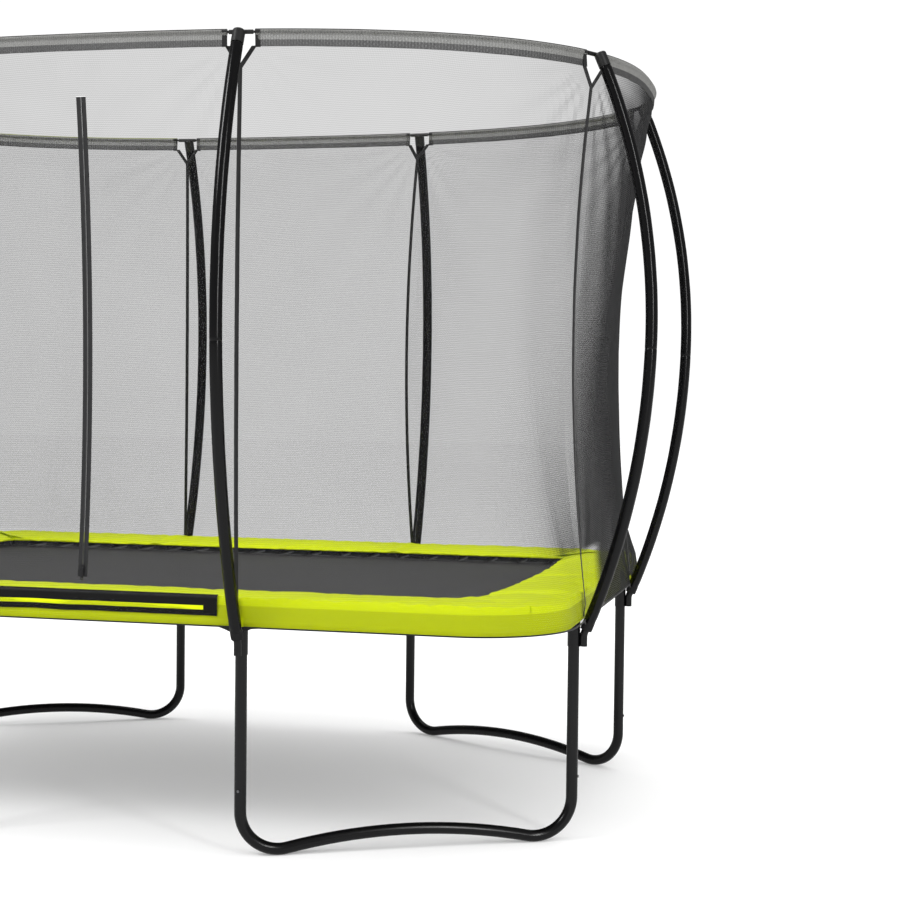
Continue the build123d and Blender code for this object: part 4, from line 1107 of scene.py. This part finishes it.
def mat_sector(side, count):
    along, out = PAD_SIDES[side][:2]
    outer = mat_outline(side, count)
    half, depth = (INNER_X, INNER_Y) if side in LONG_SIDES else (INNER_Y, INNER_X)
    inner = np.linspace(-half, half, count)[:, None] * along + depth * out
    reach = np.linalg.norm(outer[count // 2] - inner[count // 2])
    distance = np.array([0.0, 0.002, 0.006, 0.02, 0.036, 0.039, 0.041, 0.045])
    share = np.concatenate([distance / reach, np.linspace(0.06 / reach, 1, 34)])
    grid = outer[None] * (1 - share)[:, None, None] + inner[None] * share[:, None, None]
    grid[..., 2] = MAT_Z
    thick = np.where(share * reach < 0.0395, 0.0066, 0.003)
    thick = np.where(share * reach < 0.001, 0.004, thick)
    return grid, np.broadcast_to(thick[:, None], grid.shape[:2])


for side in PAD_SIDES:
    grid, thick = mat_sector(side, 141 if side in LONG_SIDES else 101)
    shells = Shells()
    add_sheet(shells, grid, thick, uv=grid[..., :2])
    for row in (3, 4):
        add_stitches(shells, grid[row] + UP * STITCH_LIFT, 0.010, 0.014)
    piece = shells.build("mat_" + side, [MAT_CLOTH, THREAD])
    blend_side(piece)
    finish_piece(piece, "jumping_mat", body=None)

shells = Shells()
plan = np.stack(np.meshgrid(np.linspace(-INNER_X, INNER_X, 61), np.linspace(-INNER_Y, INNER_Y, 25)), axis=2)
grid = np.concatenate([plan, np.full(plan.shape[:2] + (1,), MAT_Z)], axis=2)
add_sheet(shells, grid, 0.003, uv=grid[..., :2])
finish_piece(shells.build("mat_middle", [MAT_CLOTH]), "jumping_mat", body="mat")


def runs_of(side):
    """Frame end and mat end of every spring on one side; the corner springs go with the side they lean to."""
    along, out = PAD_SIDES[side][:2]
    is_long = side in LONG_SIDES
    count = LONG_COUNT if is_long else SHORT_COUNT
    frame_reach, mat_reach = (HALF_Y, MAT_Y) if is_long else (HALF_X, MAT_X)
    half_frame, half_mat = (HALF_X, MAT_X) if is_long else (HALF_Y, MAT_Y)
    runs = []
    for index in range(count):
        shift = (index - (count - 1) / 2) * PITCH * along
        runs.append((shift + frame_reach * out, shift + mat_reach * out))
    for sign in (-1, 1):
        for degree in (65, 45) if is_long else (65,):
            ray = sign * math.cos(math.radians(degree)) * along + math.sin(math.radians(degree)) * out
            ring_centre = sign * (half_frame - CORNER) * along + (frame_reach - CORNER) * out
            mat_centre = sign * (half_mat - MAT_CORNER) * along + (mat_reach - MAT_CORNER) * out
            runs.append((ring_centre + ray * CORNER, mat_centre + ray * MAT_CORNER))
    return runs


V_REACH = 0.036
V_SEAT = 0.008
V_BASE = 0.016
V_BEND = 0.005
V_HALF_TURN = math.atan2(V_BASE, V_REACH + V_SEAT)
V_POINT = V_REACH - V_BEND * (1 / math.sin(V_HALF_TURN) - 1)


def rounded_triangle(corners, radius, points=5):
    """A closed path through three corners, each rounded."""
    path = []
    for index in range(3):
        here, before, after = corners[index], corners[index - 1], corners[(index + 1) % 3]
        first = (before - here) / np.linalg.norm(before - here)
        second = (after - here) / np.linalg.norm(after - here)
        half = math.acos(np.clip(first @ second, -1, 1)) / 2
        middle = first + second
        centre = here + middle / np.linalg.norm(middle) * radius / math.sin(half)
        start, end = (here + way * radius / math.tan(half) - centre for way in (first, second))
        for t in np.linspace(0, 1, points):
            arm = start * (1 - t) + end * t
            path.append(centre + arm / np.linalg.norm(arm) * radius)
    return np.array(path)


COIL_PITCH = 0.0036
COIL_RADIUS = 0.0083
COIL_POINTS = 10
HOOK_RADIUS = 0.006


def spring_path(length):
    """The wire of one spring as (height, sideways, along) from the ring tube's axis: hook, close coil, loop."""
    coil_start = 0.035
    loop_centre = length - V_POINT
    coil_end = loop_centre - 0.018
    points = [(0.009, 0, 0.013), (0.004, 0, 0.0132), (0.001, 0, 0.0145)]
    points += [(0, 0, along) for along in (0.018, 0.024, 0.029)]
    steps = int((coil_end - coil_start) / COIL_PITCH * COIL_POINTS)
    for index in range(steps + 1):
        turn = 2 * math.pi * index / COIL_POINTS
        grow = min(1.0, index / 7, (steps - index) / 7)
        radius = COIL_RADIUS * (0.12 + 0.88 * grow)
        along = coil_start + (coil_end - coil_start) * index / steps
        points.append((radius * math.cos(turn), radius * math.sin(turn), along))
    points.append((0.0, 0, coil_end + 0.004))
    for turn in np.radians(np.linspace(-90, 140, 12)):
        points.append((HOOK_RADIUS * math.cos(turn), 0, loop_centre + HOOK_RADIUS * math.sin(turn)))
    return np.array(points)


for side in PAD_SIDES:
    rings, coils, loops = Shells(), Shells(), Shells()
    for frame_end, mat_end in runs_of(side):
        way = mat_end - frame_end
        length = float(np.linalg.norm(way))
        way = way / length
        across = np.cross(UP, way)
        level = UP * FRAME_Z
        seat = mat_end + level + way * V_SEAT
        corners = [seat + across * V_BASE, mat_end + level - way * V_REACH, seat - across * V_BASE]
        add_closed_tube(rings, rounded_triangle(corners, V_BEND), 0.002, 7)
        wire = spring_path(length)
        path = frame_end + level + wire[:, :1] * UP + wire[:, 1:2] * across + wire[:, 2:] * way
        add_tube(coils, path, 0.0015, 5)
        patch_u = np.linspace(-0.017, 0.017, 6)
        patch_v = np.array([0.003, 0.010, 0.018, 0.026, 0.034])
        patch = mat_end + patch_u[None, :, None] * across + patch_v[:, None, None] * way
        patch[..., 2] = MAT_Z + 0.0037
        patch[1, :, 2] += 0.0004
        add_sheet(loops, patch, 0.0011)
    # The springs take the darker steel, which is painted shade for their place under the pads.
    for shells, name, materials, slot, node in (
        (rings, "v_rings_", [ZINC], "zinc_wire", "mat_v_rings"),
        (coils, "springs_", [SPRING_STEEL_SHADED], "spring_steel", "springs"),
        (loops, "mat_loops_", [MAT_WEBBING], "mat_fabric", "jumping_mat"),
    ):
        piece = shells.build(name + side, materials)
        blend_side(piece)
        finish_piece(piece, node, body=None)

# ---- floor, light and camera


def by_ray(tree, seen, behind_net, glossy, other):
    """One level for what the camera sees, another through the net, and others in reflections and all else."""
    path = tree.nodes.new("ShaderNodeLightPath").outputs
    through = tree.nodes.new("ShaderNodeMath")
    through.operation = "MINIMUM"
    through.inputs[1].default_value = 1.0
    tree.links.new(path["Transparent Depth"], through.inputs[0])

    def choose(factor, first, second):
        level = tree.nodes.new("ShaderNodeMix")
        tree.links.new(factor, level.inputs[0])
        for socket, value in ((level.inputs[2], first), (level.inputs[3], second)):
            if isinstance(value, float):
                socket.default_value = value
            else:
                tree.links.new(value, socket)
        return level.outputs[0]

    direct = choose(through.outputs[0], seen, behind_net)
    return choose(path["Is Camera Ray"], choose(path["Is Glossy Ray"], other, glossy), direct)


def floor_paper():
    n = Nodes("floor_paper")
    paper = n.times(by_ray(n.tree, 0.80, 0.49, 0.30, 0.80), n.range(n.noise(0.8, 3), 0.97, 1.02))
    tint = n.add("ShaderNodeCombineColor", _0=paper, _1=paper, _2=paper).outputs[0]
    glow = {"Emission_Color": (1, 1, 1, 1), "Emission_Strength": 0.185}
    return n.end(n.surface(Base_Color=tint, Roughness=0.9, Specular_IOR_Level=0.0, **glow))


FLOOR_HALF = 40
mesh = bpy.data.meshes.new("floor")
corners = [(x * FLOOR_HALF, y * FLOOR_HALF, 0) for x, y in ((-1, -1), (1, -1), (1, 1), (-1, 1))]
mesh.from_pydata(corners, [], [(0, 1, 2, 3)])
mesh.materials.append(floor_paper())
place_new("floor", mesh)

world = bpy.data.worlds.new("studio")
world.use_nodes = True
background = world.node_tree.nodes["Background"]
background.inputs[0].default_value = (1, 1, 1, 1)
world.node_tree.links.new(by_ray(world.node_tree, 1.06, 0.84, 0.22, 1.30), background.inputs[1])
SCENE.world = world


def softbox(name, spot, target, size, power):
    lamp = bpy.data.lights.new(name, "AREA")
    lamp.shape = "RECTANGLE"
    lamp.size, lamp.size_y = size
    lamp.energy = power
    holder = place_new(name, lamp)
    holder.location = spot
    holder.rotation_euler = (Vector(target) - Vector(spot)).to_track_quat("-Z", "Y").to_euler()


softbox("key", (-4.0, -5.0, 6.0), (0, 0, 1.0), (2.5, 2.5), 260)
softbox("fill", (5.5, -5.0, 3.5), (0, 0, 1.2), (0.7, 4.0), 120)
softbox("top", (0.0, 1.0, 7.0), (0, 0, 0.5), (5.0, 4.0), 160)

camera_data = bpy.data.cameras.new("camera")
camera_data.lens = 69.62
camera_data.sensor_width = 36
camera_data.clip_end = 200
camera = place_new("camera", camera_data)
# The place and the turn of the camera come from the points of the frame seen from the front.
spot = (2.4257, -6.1969, 1.4845)
yaw, pitch, roll = 0.2343, 0.0353, 0.0113
right = Vector((math.cos(yaw), math.sin(yaw), 0))
ahead = Vector((-math.sin(yaw), math.cos(yaw), 0))
up = Vector((0, 0, 1))
forward = math.cos(pitch) * ahead - math.sin(pitch) * up
lift_up = math.cos(pitch) * up + math.sin(pitch) * ahead
axis_x = math.cos(roll) * right + math.sin(roll) * lift_up
axis_y = math.cos(roll) * lift_up - math.sin(roll) * right
turned = Matrix((axis_x, axis_y, -forward)).transposed().to_4x4()
camera.matrix_world = Matrix.Translation(spot) @ turned
SCENE.camera = camera
SCENE.view_settings.view_transform = "Standard"

bpy.context.view_layer.update()
